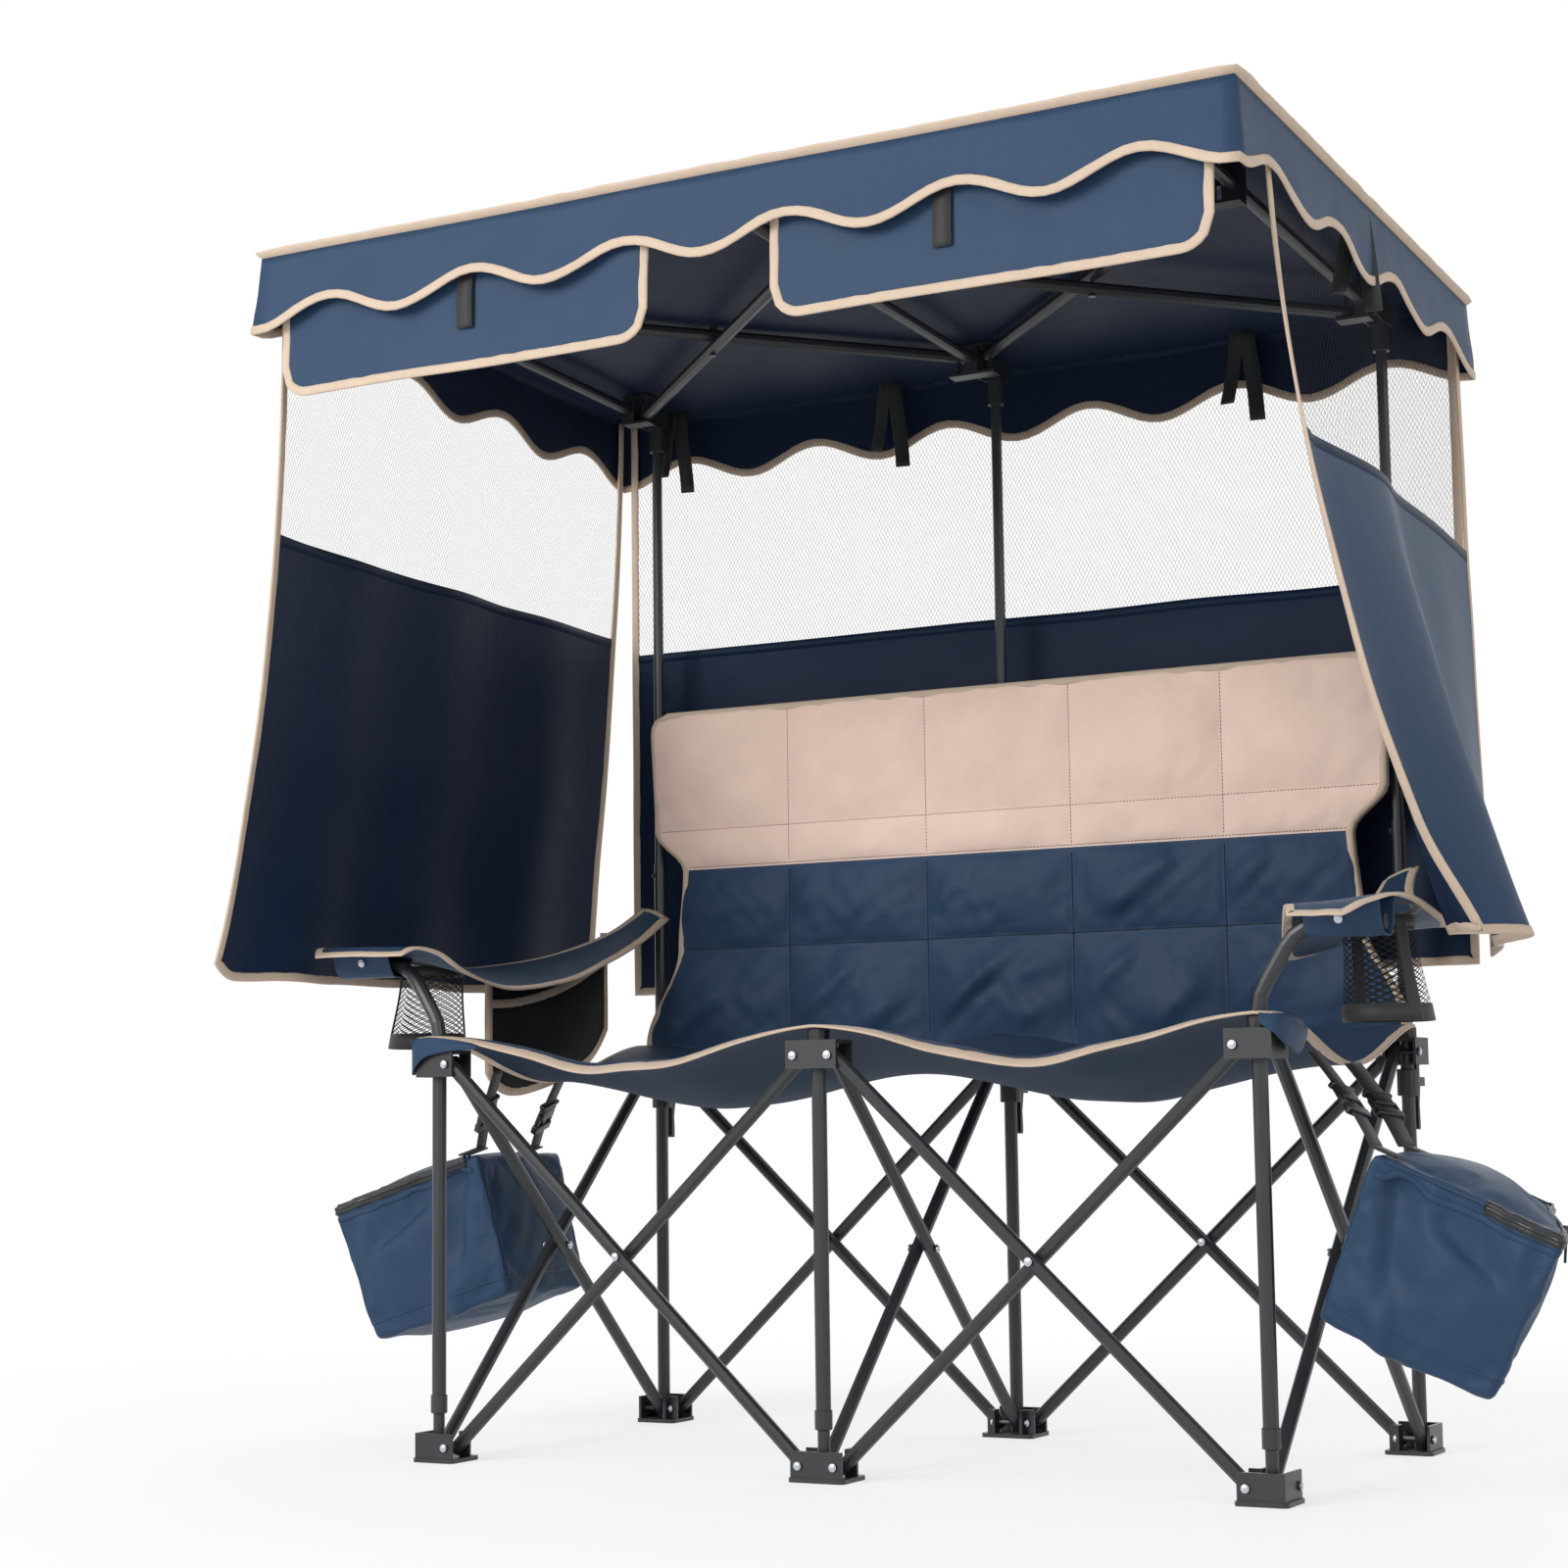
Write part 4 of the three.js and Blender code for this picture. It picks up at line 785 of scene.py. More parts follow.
class LOVESEAT_OT_canopy(bpy.types.Operator):
    """Make the cover with its scalloped skirt, front flaps, binding and tie straps"""

    bl_idname = "loveseat.canopy"
    bl_label = "Canopy"

    def execute(self, context):
        places = cover_loop(SCALLOP_STEPS)
        top = cloth_sheet("cover_top", SCALLOPS["across"] * SCALLOP_STEPS,
                          SCALLOPS["along"] * SCALLOP_STEPS, cover_top, COVER_FLAT)
        hang = [[spot(*skirt_at(place, share)) for place in places]
                for share in shares(SKIRT_STEPS)]
        skirt = loft("cover_skirt", hang[::-1], around=True)
        cover = merge([top, skirt], "canopy_cover_cloth")
        bpy.ops.object.mode_set(mode="EDIT")
        bpy.ops.mesh.select_all(action="SELECT")
        bpy.ops.mesh.remove_doubles(threshold=0.00005)
        bpy.ops.mesh.normals_make_consistent(inside=False)
        bpy.ops.object.mode_set(mode="OBJECT")
        if max(cover.data.polygons, key=lambda face: face.center.z).normal.z < 0:
            cover.data.flip_normals()
        thicken(cover, sizes().cloth, back="coated_reverse", offset=-1.0)
        fit(cover, "canopy_rib_centre", FOLD_ACROSS, ("canopy_cover",))

        hem = binding("cover_hem_binding", hang[-1], hang[-2], loop=True)
        ways = [Vector((*way, 1.0)).normalized() for _, _, _, way in places]
        sunk, out = ([point + way * off for point, way in zip(hang[0], ways)]
                     for off in (PIPING["sunk"], PIPING["out"]))
        piping = binding("cover_edge_piping", sunk, out, PIPING["wide"], True, PIPING["half"])
        seams = []
        for x in COLUMNS.values():
            points = []
            for share in shares(24):
                place = cover_top((x + COVER_HALF) / (2 * COVER_HALF), share)
                points.append(spot(place[0], place[1], place[2] + 0.4))
            seams.append(strap("felled_seam", points, *FELLED_SEAM, (1, 0, 0), "navy_oxford"))
        pieces = [hem, piping, merge(seams, "cover_felled_seams")]
        for name, side in SIDES.items():
            surface = flap_surface(side)
            flap = cloth_sheet(f"flap_{name}", 64, 20, surface, FLAP_FLAT)
            thicken(flap, sizes().cloth, front="coated_reverse")
            tape = bind_sheet(f"flap_binding_{name}", surface, HUNG_SIDES, (14, 72, 14))
            middle = 0.5 + (0.02 if side < 0 else -0.09)
            points = []
            for share in shares(12):
                x, y, z = surface(middle, mix(0.3, 0.72, share))
                points.append(spot(x, y - 3.2 - 1.2 * math.sin(3 * share), z))
            tie = strap(f"flap_tie_{name}", points, *FLAP_TIE, (1, 0, 0))
            for piece in (flap, tape, tie):
                fit(piece, "canopy_rib_centre", FOLD_ACROSS)
        for number, (x, y) in enumerate(TIE_PLACES):
            ties = []
            for lean, length in ((-1, 92), (1, 118)):
                points = []
                for share in shares(14):
                    back = 6 + 5 * share ** 2 + 2 * math.sin(5 * share + number)
                    points.append(spot(x + lean * (6 + 14 * share), y - back,
                                       under_cover(y) - 1.5 - length * share))
                ties.append(strap("tie", points, *ROLL_UP_TIE, (1, 0.15 * lean, 0)))
            pieces.append(merge(ties, f"roll_up_ties_{number + 1}"))
        for piece in pieces:
            fit(piece, "canopy_rib_centre", FOLD_ACROSS)
        return {"FINISHED"}


# Walls

WALL_BACK_HALF = 596.0
WALL_LEFT_FRONT = -465.0
WALL_RIGHT_BOTTOM = 585.0
WALL_FOLD = 3.4
WALL_FLARE = (96.0, 63.0)  # how far the left wall's hem stands out, at its front and rear
WALL_ROOM = 15.0  # the left wall stands off the arm sling, to clear it when the roof is lowered


def back_wall(u, v):
    """Hangs nearly flat, with shallow folds that deepen towards its hem."""
    x = mix(-WALL_BACK_HALF, WALL_BACK_HALF, u)
    z = mix(under_cover(WALL_BACK) - 2 * GAP, WALL_BOTTOM, v)
    fold = WALL_FOLD * v * math.sin(u * math.pi * 10) + 1.5 * v * ripple(x, z, 130.0, 3.0)
    return (x, WALL_BACK - 1.0 + min(fold, WALL_FOLD), z + 4 * v * ripple(x, 0, 160.0, 9.0))


def left_wall(u, v):
    """Hangs outward over the arm sling in wide folds, with a rounded front corner."""
    y = mix(WALL_LEFT_FRONT, WALL_REAR, u)
    z = mix(under_cover(y) - 2 * GAP, WALL_BOTTOM, v)
    flare = mix(*WALL_FLARE, u) * v ** mix(2.3, 1.5, ease(u / 0.2))
    room = WALL_ROOM * math.sin(math.pi * u) * ease((v - 0.66) / 0.12)
    fold = 7 * v * math.sin(u * math.pi * 7) + 3 * v * ripple(y, z, 140.0, 5.0)
    corner = 16 * v ** 8 * clamp(1 - u / 0.06) ** 2
    return (-SIDE_X - flare - room - fold, y, z + corner + 5 * v * ripple(y, 0, 120.0, 2.0))


# The right wall's plan, from its front edge: distances out from the post line, and depths
RIGHT_TOP = ((0, -392), (0, -384), (0, -374), (0, -190), (0, -60), (0, 120), (0, WALL_REAR))
RIGHT_HEM = ((114, -168), (102, -163), (97, -143), (150, -30), (87, 50), (60, 180), (14, WALL_REAR))


def right_wall(u, v):
    """Drawn back like a curtain, with its front edge rolled outward; u runs from the rear edge."""
    share = 1 - u
    out, hem_y = curve_at(RIGHT_HEM, share)
    _, top_y = curve_at(RIGHT_TOP, share)
    y = mix(top_y, hem_y, v ** mix(2.4, 1.4, ease(share / 0.35)))
    z = mix(under_cover(y) - 2 * GAP, WALL_RIGHT_BOTTOM, v)
    out += 20 * ease((v - 0.86) / 0.14) * ease(1 - share / 0.1)
    soft = 4 * v * ripple(share * 700, z, 150.0, 8.0)
    return (SIDE_X - 1 + out * v ** 1.6 + soft, y, z + 4 * v * ripple(share * 700, 0, 130.0, 6.0))


def part_of(surface, start, end):
    return lambda u, v: surface(u, mix(start, end, v))


WALLS = {
    "back": {"surface": back_wall, "body": "canopy_post_centre", "fold": FOLD_ACROSS, "seam": 0.415,
             "flat": (1.192, 0.815), "columns": 110},
    "left": {"surface": left_wall, "body": "canopy_post_left", "fold": FOLD_WALL, "seam": 0.385,
             "flat": (0.77, 0.84), "columns": 84},
    "right": {"surface": right_wall, "body": "canopy_post_right", "fold": FOLD_WALL, "seam": 0.395,
              "flat": (0.7, 0.83), "columns": 120},
}
SEAM_STEPS = 80
SEAM_TAPE = {"above": 0.004, "off": 0.0011, "wide": 0.012, "thick": 0.0006}


class LOVESEAT_OT_walls(bpy.types.Operator):
    """Make the three hanging walls: netting above, solid cloth below, bound at their edges"""

    bl_idname = "loveseat.walls"
    bl_label = "Walls"

    def execute(self, context):
        for name, wall in WALLS.items():
            surface, seam = wall["surface"], wall["seam"]
            wide, tall = wall["flat"]
            columns = wall["columns"]
            net = cloth_sheet(f"wall_{name}_net", columns, 30, part_of(surface, 0.0, seam),
                              (wide, tall * seam))
            paint(net, "wall_net")
            panel = cloth_sheet(f"wall_{name}_panel", columns, 44, part_of(surface, seam, 1.0),
                                (wide, tall * (1 - seam)))
            thicken(panel, sizes().cloth, back="coated_reverse")
            tape = bind_sheet(f"wall_{name}_binding", surface, HUNG_SIDES, (60, 90, 60))
            hem = self.seam_tape(f"wall_{name}_seam_tape", surface, seam)
            for piece in (net, panel, tape, hem):
                fit(piece, wall["body"], wall["fold"])
            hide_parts(f"wall_{name}")
        return {"FINISHED"}

    def seam_tape(self, name, surface, seam):
        """A tape on each face of a wall, over the seam between its net and its cloth."""
        points = [spot(*surface(share, seam)) for share in shares(SEAM_STEPS)]
        below = [spot(*surface(share, seam + 0.01)) for share in shares(SEAM_STEPS)]
        tapes = []
        for face in (-1, 1):
            rows = []
            for k, point in enumerate(points):
                drop = (below[k] - point).normalized()
                ahead = points[min(k + 1, SEAM_STEPS)] - points[max(k - 1, 0)]
                side = ahead.normalized().cross(drop) * (face * SEAM_TAPE["off"])
                start = point - drop * SEAM_TAPE["above"] + side
                rows.append([start + drop * (SEAM_TAPE["wide"] * share) for share in shares(2)])
            tapes.append(loft("seam", rows))
        tapes[0].data.flip_normals()
        tape = paint(merge(tapes, name), "coated_reverse")
        return apply_modifier(tape, "SOLIDIFY", thickness=SEAM_TAPE["thick"], offset=1.0)


# Seat and backrest

SEAT_SAG = (38, 50)  # in the middle of a bay, and at mid depth
SEAT_LIP = 10  # how far the front edge turns down


def seat_height(x, y):
    """Height of the sling, which hangs between its six hubs and creases near its front edge."""
    bay = math.sin(math.pi * x / BAY) ** 2
    depth = math.sin(math.pi * (max(y, ROWS["front"]) - ROWS["front"]) / BAY) ** 2
    near = clamp(1 - abs((y - ROWS["front"]) / 200.0))
    pull = 3.0 * ripple(x, y, 75.0, 2.5) * bay + 2.5 * near * bay * math.sin(x / 23.0 + y / 40.0)
    lip = SEAT_LIP * bay ** 0.5 * clamp((ROWS["front"] + 4 - y) / 20) ** 1.5
    return SEAT_TOP - 2.0 - SEAT_SAG[0] * bay - SEAT_SAG[1] * depth + pull - lip


def seat_part(start, end):
    """A panel of the sling between two depths."""
    def surface(u, v):
        x, y = mix(-SEAT_HALF, SEAT_HALF, u), mix(start, end, v)
        return (x, y, seat_height(x, y))
    return surface


CORNERS = {
    "left": {"side": -1, "flat": (0.17, 0.04),
             "plan": ((452, -279), (492, -285), (528, -287), (545, -281), (548, -262), (548, -225),
                      (547, -196)),
             "drop": ((0.0, 5.0), (0.3, 24.0), (0.5, 42.0), (0.68, 40.0), (0.85, 24.0),
                      (1.0, 9.0))},
    "right": {"side": 1, "flat": (0.12, 0.04),
              "plan": ((529, -287), (544, -283), (550, -270), (552, -248), (552, -226), (550, -204),
                       (547, -184)),
              "drop": ((0.0, 9.0), (0.2, 22.0), (0.45, 38.0), (0.65, 40.0), (0.85, 24.0),
                       (1.0, 7.0))},
}


def corner_flap(corner):
    """A cloth sleeve over the front hub, sewn below the seat's corner."""
    def surface(u, v):
        x, y = curve_at(corner["plan"], u)
        top = seat_height(corner["side"] * min(x, SEAT_HALF), max(y, ROWS["front"] - 16))
        slack = 3.0 * (1 - ease(v * 2))
        return (corner["side"] * (x - slack * (u > 0.5)), y + slack * (u < 0.5),
                top - through(corner["drop"], u) * v)
    return surface


SEAT_PARTS = {
    "front": {"y": (-276.0, -0.4), "body": "seat_front", "row": "front", "flat": (1.12, 0.29)},
    "rear": {"y": (0.0, SEAT_REAR), "body": "seat_rear", "row": "back", "flat": (1.12, 0.24)},
}
COLLAR_HOLE = 0.0133  # radius of the holes through which the front hubs' collars pass
FRONT_TAPE = 0.013


class LOVESEAT_OT_seat(bpy.types.Operator):
    """Make the sagging seat sling in its two panels, with binding and hub pockets"""

    bl_idname = "loveseat.seat"
    bl_label = "Seat"

    def execute(self, context):
        for name, part in SEAT_PARTS.items():
            surface = seat_part(*part["y"])
            panel = cloth_sheet(f"seat_cloth_{name}", 160, 44, surface, part["flat"])
            # The underside takes the darker navy, painted shade under the sling
            thicken(panel, sizes().sling, back="navy_painted_shade_underside")
            if name == "rear":
                tapes = [bind_sheet("seat_binding_rear_left", surface, ("left_up",), (30,)),
                         bind_sheet("seat_binding_rear_right", surface, ("right_down",), (30,))]
            else:
                for column in COLUMNS.values():
                    drill(panel, spot(column, ROWS["front"], SEAT_TOP - 5), COLLAR_HOLE, 40)
                tapes = [bind_sheet("seat_binding_front", surface, STANDING_SIDES, (30, 160, 30),
                                    width=FRONT_TAPE)]
                for end, corner in CORNERS.items():
                    flap = cloth_sheet(
                        f"seat_corner_{end}", 40, 10, corner_flap(corner), corner["flat"])
                    thicken(flap, sizes().cloth)
                    tapes.append(flap)
            for piece in [panel, *tapes]:
                fit(piece, part["body"], FOLD_ACROSS)
            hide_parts(f"seat_{name}_panel")
        return {"FINISHED"}


BACK_FLAT = (1.04, 0.47)
BACK_FILL = 0.0095  # metres of wadding between the backrest's two cloths
BACK_TAIL = 62.0  # the lower edge hangs behind the sagging seat by this much in the middle of a bay
BACK_CROWN = 7.0
BACK_CORNER = 26.0
BACK_SEAM = 306.0
PAD_STEPS = 24
PAD_STEP = 8  # height of a pad's rows of faces
PAD_PRESSURE = 6.0
PAD_SLACK = 0.04  # share by which the cloth may grow as it swells
SEWN_CREASE = 0.95
FOLD_HIGH = 9.0
FOLD_ENDS = 35  # each fold fades over this length at its ends


def back_shape(u, z):
    """A place across the back: its sewn columns run straight up, and only the outer pads narrow."""
    half = between(BACK_ROWS, BACK_HALF, z)
    rise = clamp((z - BACK_ROWS[0] + BACK_CORNER) / BACK_CORNER)
    half -= BACK_CORNER * (1 - math.sqrt(1 - rise * rise))
    side, sewn = 2 * u - 1, 1 - 2 / BACK_COLUMNS
    if abs(side) <= sewn:
        return BACK_SEAM * side / sewn
    return math.copysign(mix(BACK_SEAM, half, (abs(side) - sewn) / (1 - sewn)), side)


def back_tail(x):
    return BACK_TAIL * abs(math.sin(math.pi * x / BAY)) ** 1.4


def crumple(x, z):
    """Long soft wrinkles that run slanting across a pad, deeper where the cloth bends."""
    total = 0.0
    for degrees, depth, seed in ((38, 2.2, 1.0), (-52, 1.5, 5.0), (8, 0.9, 9.0)):
        cos, sin = math.cos(math.radians(degrees)), math.sin(math.radians(degrees))
        wave = ripple((x * cos + z * sin) / 4.2, z * cos - x * sin, 26.0, seed)
        total += depth * (0.5 - abs(wave) * 2)
    return total * mix(0.7, 2.0, ease((770 - z) / 150))


BACK_FOLDS = (  # places of the deepest folds' ends, across and up
    ((-480, 515), (-385, 575)), ((-300, 515), (-195, 605)), ((-205, 500), (-130, 560)),
    ((-110, 498), (10, 600)), ((20, 500), (70, 545)), ((85, 505), (200, 610)),
    ((205, 500), (290, 570)), ((300, 510), (390, 590)), ((-330, 640), (-250, 712)),
    ((-120, 650), (-40, 700)), ((140, 640), (255, 725)), ((285, 640), (375, 715)),
)


def back_folds(x, z):
    """Height of the slanting folds where the back's cloth is pulled towards the seat."""
    total = 0.0
    for (x0, z0), (x1, z1) in BACK_FOLDS:
        run = math.hypot(x1 - x0, z1 - z0)
        along = ((x - x0) * (x1 - x0) + (z - z0) * (z1 - z0)) / run
        off = ((x - x0) * (z1 - z0) - (z - z0) * (x1 - x0)) / run
        ends = ease(along / FOLD_ENDS) * ease((run - along) / FOLD_ENDS)
        total += FOLD_HIGH * fold_line(off, 24.0, 5.5) * ends
    return total


def fold_line(off, sharp, soft):
    """A fold's section from 0 to 1, with a reach of its own on each side."""
    return math.exp(-(off / (sharp if off < 0 else soft)) ** 2)


class LOVESEAT_OT_backrest(bpy.types.Operator):
    """Make the quilted backrest: a two-tone shell puffed between its sewn lines, bound, stitched"""

    bl_idname = "loveseat.backrest"
    bl_label = "Backrest"

    def execute(self, context):
        columns = BACK_COLUMNS * PAD_STEPS
        heights, sewn_rows = [], [0]
        for number, (top, bottom) in enumerate(zip(BACK_ROWS, BACK_ROWS[1:])):
            steps = round((top - bottom) / PAD_STEP)
            heights += [(number, share) for share in shares(steps)[:-1]]
            sewn_rows.append(len(heights))
        heights.append((len(BACK_ROWS) - 2, 1.0))
        rows = len(heights) - 1

        def face(u, v):
            number, share = heights[round(v * rows)]
            z = mix(BACK_ROWS[number], BACK_ROWS[number + 1], share)
            x = back_shape(u, z)
            pad = math.sqrt(math.sin(math.pi * share) * abs(math.sin(math.pi * BACK_COLUMNS * u)))
            if number == len(BACK_ROWS) - 2:
                z -= back_tail(x) * share
            return (x, BACK_FACE - BACK_THICK + 1.5 - BACK_CROWN * pad, z)

        quilt = cloth_sheet("backrest_quilt", columns, rows, face, BACK_FLAT)
        count = len(quilt.data.vertices)
        thicken(quilt, BACK_FILL, offset=1.0)
        held = quilt.vertex_groups.new(name="sewn")
        sewn = set()
        for vertex in quilt.data.vertices:
            place = vertex.index % count
            if place % (columns + 1) % PAD_STEPS == 0 or place // (columns + 1) in sewn_rows:
                held.add([vertex.index], 1.0, "REPLACE")
                sewn.add(vertex.index)
        swell(quilt, PAD_PRESSURE, sizes().pad_puff, "sewn", PAD_SLACK)
        quilt.vertex_groups.clear()
        moves = []
        for vertex in quilt.data.vertices:
            row, column = divmod(vertex.index % count, columns + 1)
            _, share = heights[row]
            inside = math.sin(math.pi * share) * abs(math.sin(math.pi * column / PAD_STEPS))
            x, z = 1000 * (vertex.co.x - MIDDLE.x), 1000 * vertex.co.z
            height = crumple(x, z) + (back_folds(x, z) if vertex.normal.y < 0 else 0.0)
            moves.append(vertex.normal * (height * inside ** 0.5 / 1000))
        for vertex, move in zip(quilt.data.vertices, moves):
            vertex.co += move
        crease = quilt.data.attributes.new("crease_edge", "FLOAT", "EDGE")
        crease.data.foreach_set("value", [
            SEWN_CREASE if sewn.issuperset(edge.vertices) else 0.0
            for edge in quilt.data.edges])
        paint(quilt, "navy_oxford", "tan_oxford")
        two_tone = sewn_rows[2]
        for polygon in quilt.data.polygons:
            row = min(corner % count for corner in polygon.vertices) // (columns + 1)
            polygon.material_index = int(row < two_tone)
        apply_modifier(quilt, "SUBSURF", levels=1, render_levels=1)
        fit(quilt, "back_centre_leg", FOLD_ACROSS, ("backrest",))

        def outline(u, v):
            z = mix(BACK_ROWS[0], BACK_ROWS[-1], v)
            return (back_shape(u, z), BACK_FACE - BACK_THICK + 6.2, z)

        tape = bind_sheet("backrest_binding", outline, STANDING_SIDES, (50, 100, 50), half=0.0066)
        skin = BVHTree.FromObject(quilt, context.evaluated_depsgraph_get())
        upper, lower = [], []
        for column in range(1, BACK_COLUMNS):
            share = column / BACK_COLUMNS
            for lines, start, end in ((upper, 948, 742), (lower, 734, 512)):
                levels = [mix(start, end, k) for k in shares(50)]
                lines.append([(back_shape(share, z), z) for z in levels])
        for lines, z in ((upper, BACK_ROWS[1]), (upper, BACK_ROWS[2] + 3), (lower, BACK_ROWS[3])):
            half = 0.985 * between(BACK_ROWS, BACK_HALF, z)
            lines.append([(mix(-half, half, share), z) for share in shares(160)])
        # Dark thread that also paints the shade in the sewn grooves; on the navy its stitches are
        # longer than their spacing, so they run as one dark line
        thread = [stitching("backrest_stitching_and_seam_shade_tan", self.sew(skin, upper), "dark_thread_and_seam_shade"),
                  stitching("backrest_stitching_and_seam_shade_navy", self.sew(skin, lower), "navy_thread_and_seam_shade",
                            length=0.0047, width=0.0026)]
        for piece in (tape, *thread):
            fit(piece, "back_centre_leg", FOLD_ACROSS)
        return {"FINISHED"}

    def sew(self, skin, lines):
        """Lines given across and up, as places and normals on the quilt's front."""
        toward = Vector((0, 1, 0))
        sewn = []
        for line in lines:
            hits = [skin.ray_cast(spot(x, BACK_FACE - 120, z), toward)[0] for x, z in line]
            points = [hit - toward * 0.0003 for hit in hits if hit]
            sewn.append((points, [-toward] * len(points)))
        return sewn


# Arm slings, cup holders and pocket

# Heights of the slings' edges along the depth, as places and values
ARM_INNER_LINE = ((-145, 566), (-60, 571), (16, 584), (100, 609), (190, 643), (251.4, 674))
ARM_LINES = {
    -1: {"outer": ((-345, 601), (-325, 611), (-260, 611), (-150, 606), (-80, 600), (0, 602),
                   (88, 617), (180, 651), (251.4, 690)),
         "inner": ((-345, 599), (-322, 608), (-285, 604), (-232, 584), *ARM_INNER_LINE),
         "cut_back": 13.0, "cut_run": 66.0, "area": 0.075},
    1: {"outer": ((-345, 596), (-318, 609), (-260, 620), (-190, 622), (-120, 614), (-60, 604),
                  (10, 603), (88, 617), (180, 651), (251.4, 690)),
        "inner": ((-345, 597), (-320, 608), (-285, 606), (-232, 587), *ARM_INNER_LINE),
        "cut_back": 82.0, "cut_run": 240.0, "area": 0.07},
}
ARM_CORNER = (26, 66)  # the outer front corner is cut back by this much, over this length
ARM_BAR_Z = 592.7
ARM_SLEEVE = ((-27, None), (-23, 4.0), (-13, -12.0), (0, -14.0), (13, -12.0), (22, 4.0), (27, None))
ARM_SLEEVE_X = (579.0, 662.0)


def through(points, at):
    """A smooth line through places and values."""
    last = len(points) - 1
    k = clamp(sum(at >= place for place, _ in points) - 1, 0, last - 1)

    def slope(n):
        before, after = points[max(n - 1, 0)], points[min(n + 1, last)]
        return (after[1] - before[1]) / (after[0] - before[0])

    (x0, v0), (x1, v1) = points[k], points[k + 1]
    t, run = clamp((at - x0) / (x1 - x0)), x1 - x0
    return (v0 * (2 * t ** 3 - 3 * t ** 2 + 1) + v1 * (3 * t ** 2 - 2 * t ** 3)
            + slope(k) * run * (t ** 3 - 2 * t ** 2 + t) + slope(k + 1) * run * (t ** 3 - t ** 2))


def arm_edges(side, y):
    """Distances of the sling's inner and outer edges from the middle of the seat."""
    line = ARM_LINES[side]
    taper = ease((y - ARM_FLAT_END) / (ARM_REAR - ARM_FLAT_END))
    corner = ARM_CORNER[0] * clamp(1 - (y - ARM_FRONT) / ARM_CORNER[1]) ** 2
    back = line["cut_back"] * clamp(1 - (y - ARM_FRONT) / line["cut_run"]) ** 1.2
    return ARM_INNER + back, mix(*ARM_OUTER, taper) - corner


def arm_height(side, x, y):
    """Height of the sling: its inner edge sinks behind the post, its outer edge stays up."""
    inner, outer = arm_edges(side, y)
    line = ARM_LINES[side]
    sunk = (1 - clamp((x - inner) / (outer - inner))) ** 1.8
    return mix(through(line["outer"], y), through(line["inner"], y), sunk)


def arm_surface(side):
    """The sling's mid surface; its outer side is u 0 on the left arm and u 1 on the right."""
    def surface(u, v):
        y = mix(ARM_FRONT, ARM_REAR, v)
        across = u if side > 0 else 1 - u
        x = mix(*arm_edges(side, y), across)
        soft = 1.0 * ripple(across * 160, y, 60.0, 3.0 + side)
        return (side * x, y, arm_height(side, x, y) + soft)
    return surface


def arm_sleeve(side):
    """A cloth sleeve below the sling that holds the level end of the arm post."""
    def surface(u, v):
        x = mix(*ARM_SLEEVE_X, u)
        loop = []
        for off, below in ARM_SLEEVE:
            y = ROWS["front"] + off
            loop.append((y, arm_height(side, x, y) - 1.0 if below is None else ARM_BAR_Z + below))
        y, z = curve_at(loop, v)
        return (side * x, y + 0.8 * ripple(x, z, 18.0, side), z)
    return surface


class LOVESEAT_OT_arms(bpy.types.Operator):
    """Make the two arm slings with their binding, cup hole rims and rivets"""

    bl_idname = "loveseat.arms"
    bl_label = "Arm Slings"

    def execute(self, context):
        for name, side in SIDES.items():
            surface = arm_surface(side)
            sling = cloth_sheet(f"arm_sling_{name}", 40, 130, surface, ARM_FLAT)
            thicken(sling, sizes().sling)
            drill(sling, spot(side * CUP["x"], CUP["y"], ARM_Z), CUP_HOLE, CUP_STEPS)
            tape = bind_sheet(f"arm_binding_{name}", surface, (*STANDING_SIDES, "rear"),
                              (90, 40, 90, 30), loop=True)
            edge, inside = [], []
            for share in shares(CUP_STEPS)[:-1]:
                angle = 2 * math.pi * share
                for ring, radius in ((edge, CUP_RIM[0]), (inside, CUP_RIM[1])):
                    x = CUP["x"] + radius * math.cos(angle)
                    y = CUP["y"] + radius * math.sin(angle)
                    ring.append(spot(side * x, y, arm_height(side, x, y)))
            rim = binding(f"cup_rim_{name}", edge, inside, width=0.009, loop=True, half=0.0024)
            paint(rim, "webbing")
            sleeve = cloth_sheet(f"arm_sleeve_{name}", 36, 30, arm_sleeve(side), SLEEVE_FLAT)
            thicken(sleeve, sizes().cloth)
            stud = copy_of(rivet_head(), turned(spot(side * 618, ROWS["front"] - 24, ARM_BAR_Z + 3),
                                                Vector((0, -1, -0.3))), f"arm_stud_{name}")
            for piece in (sling, tape, rim, sleeve):
                fit(piece, f"front_{name}_hub", FOLD_ARM)
            fit(stud, f"front_{name}_hub")
            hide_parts(f"armrest_{name}")
        return {"FINISHED"}


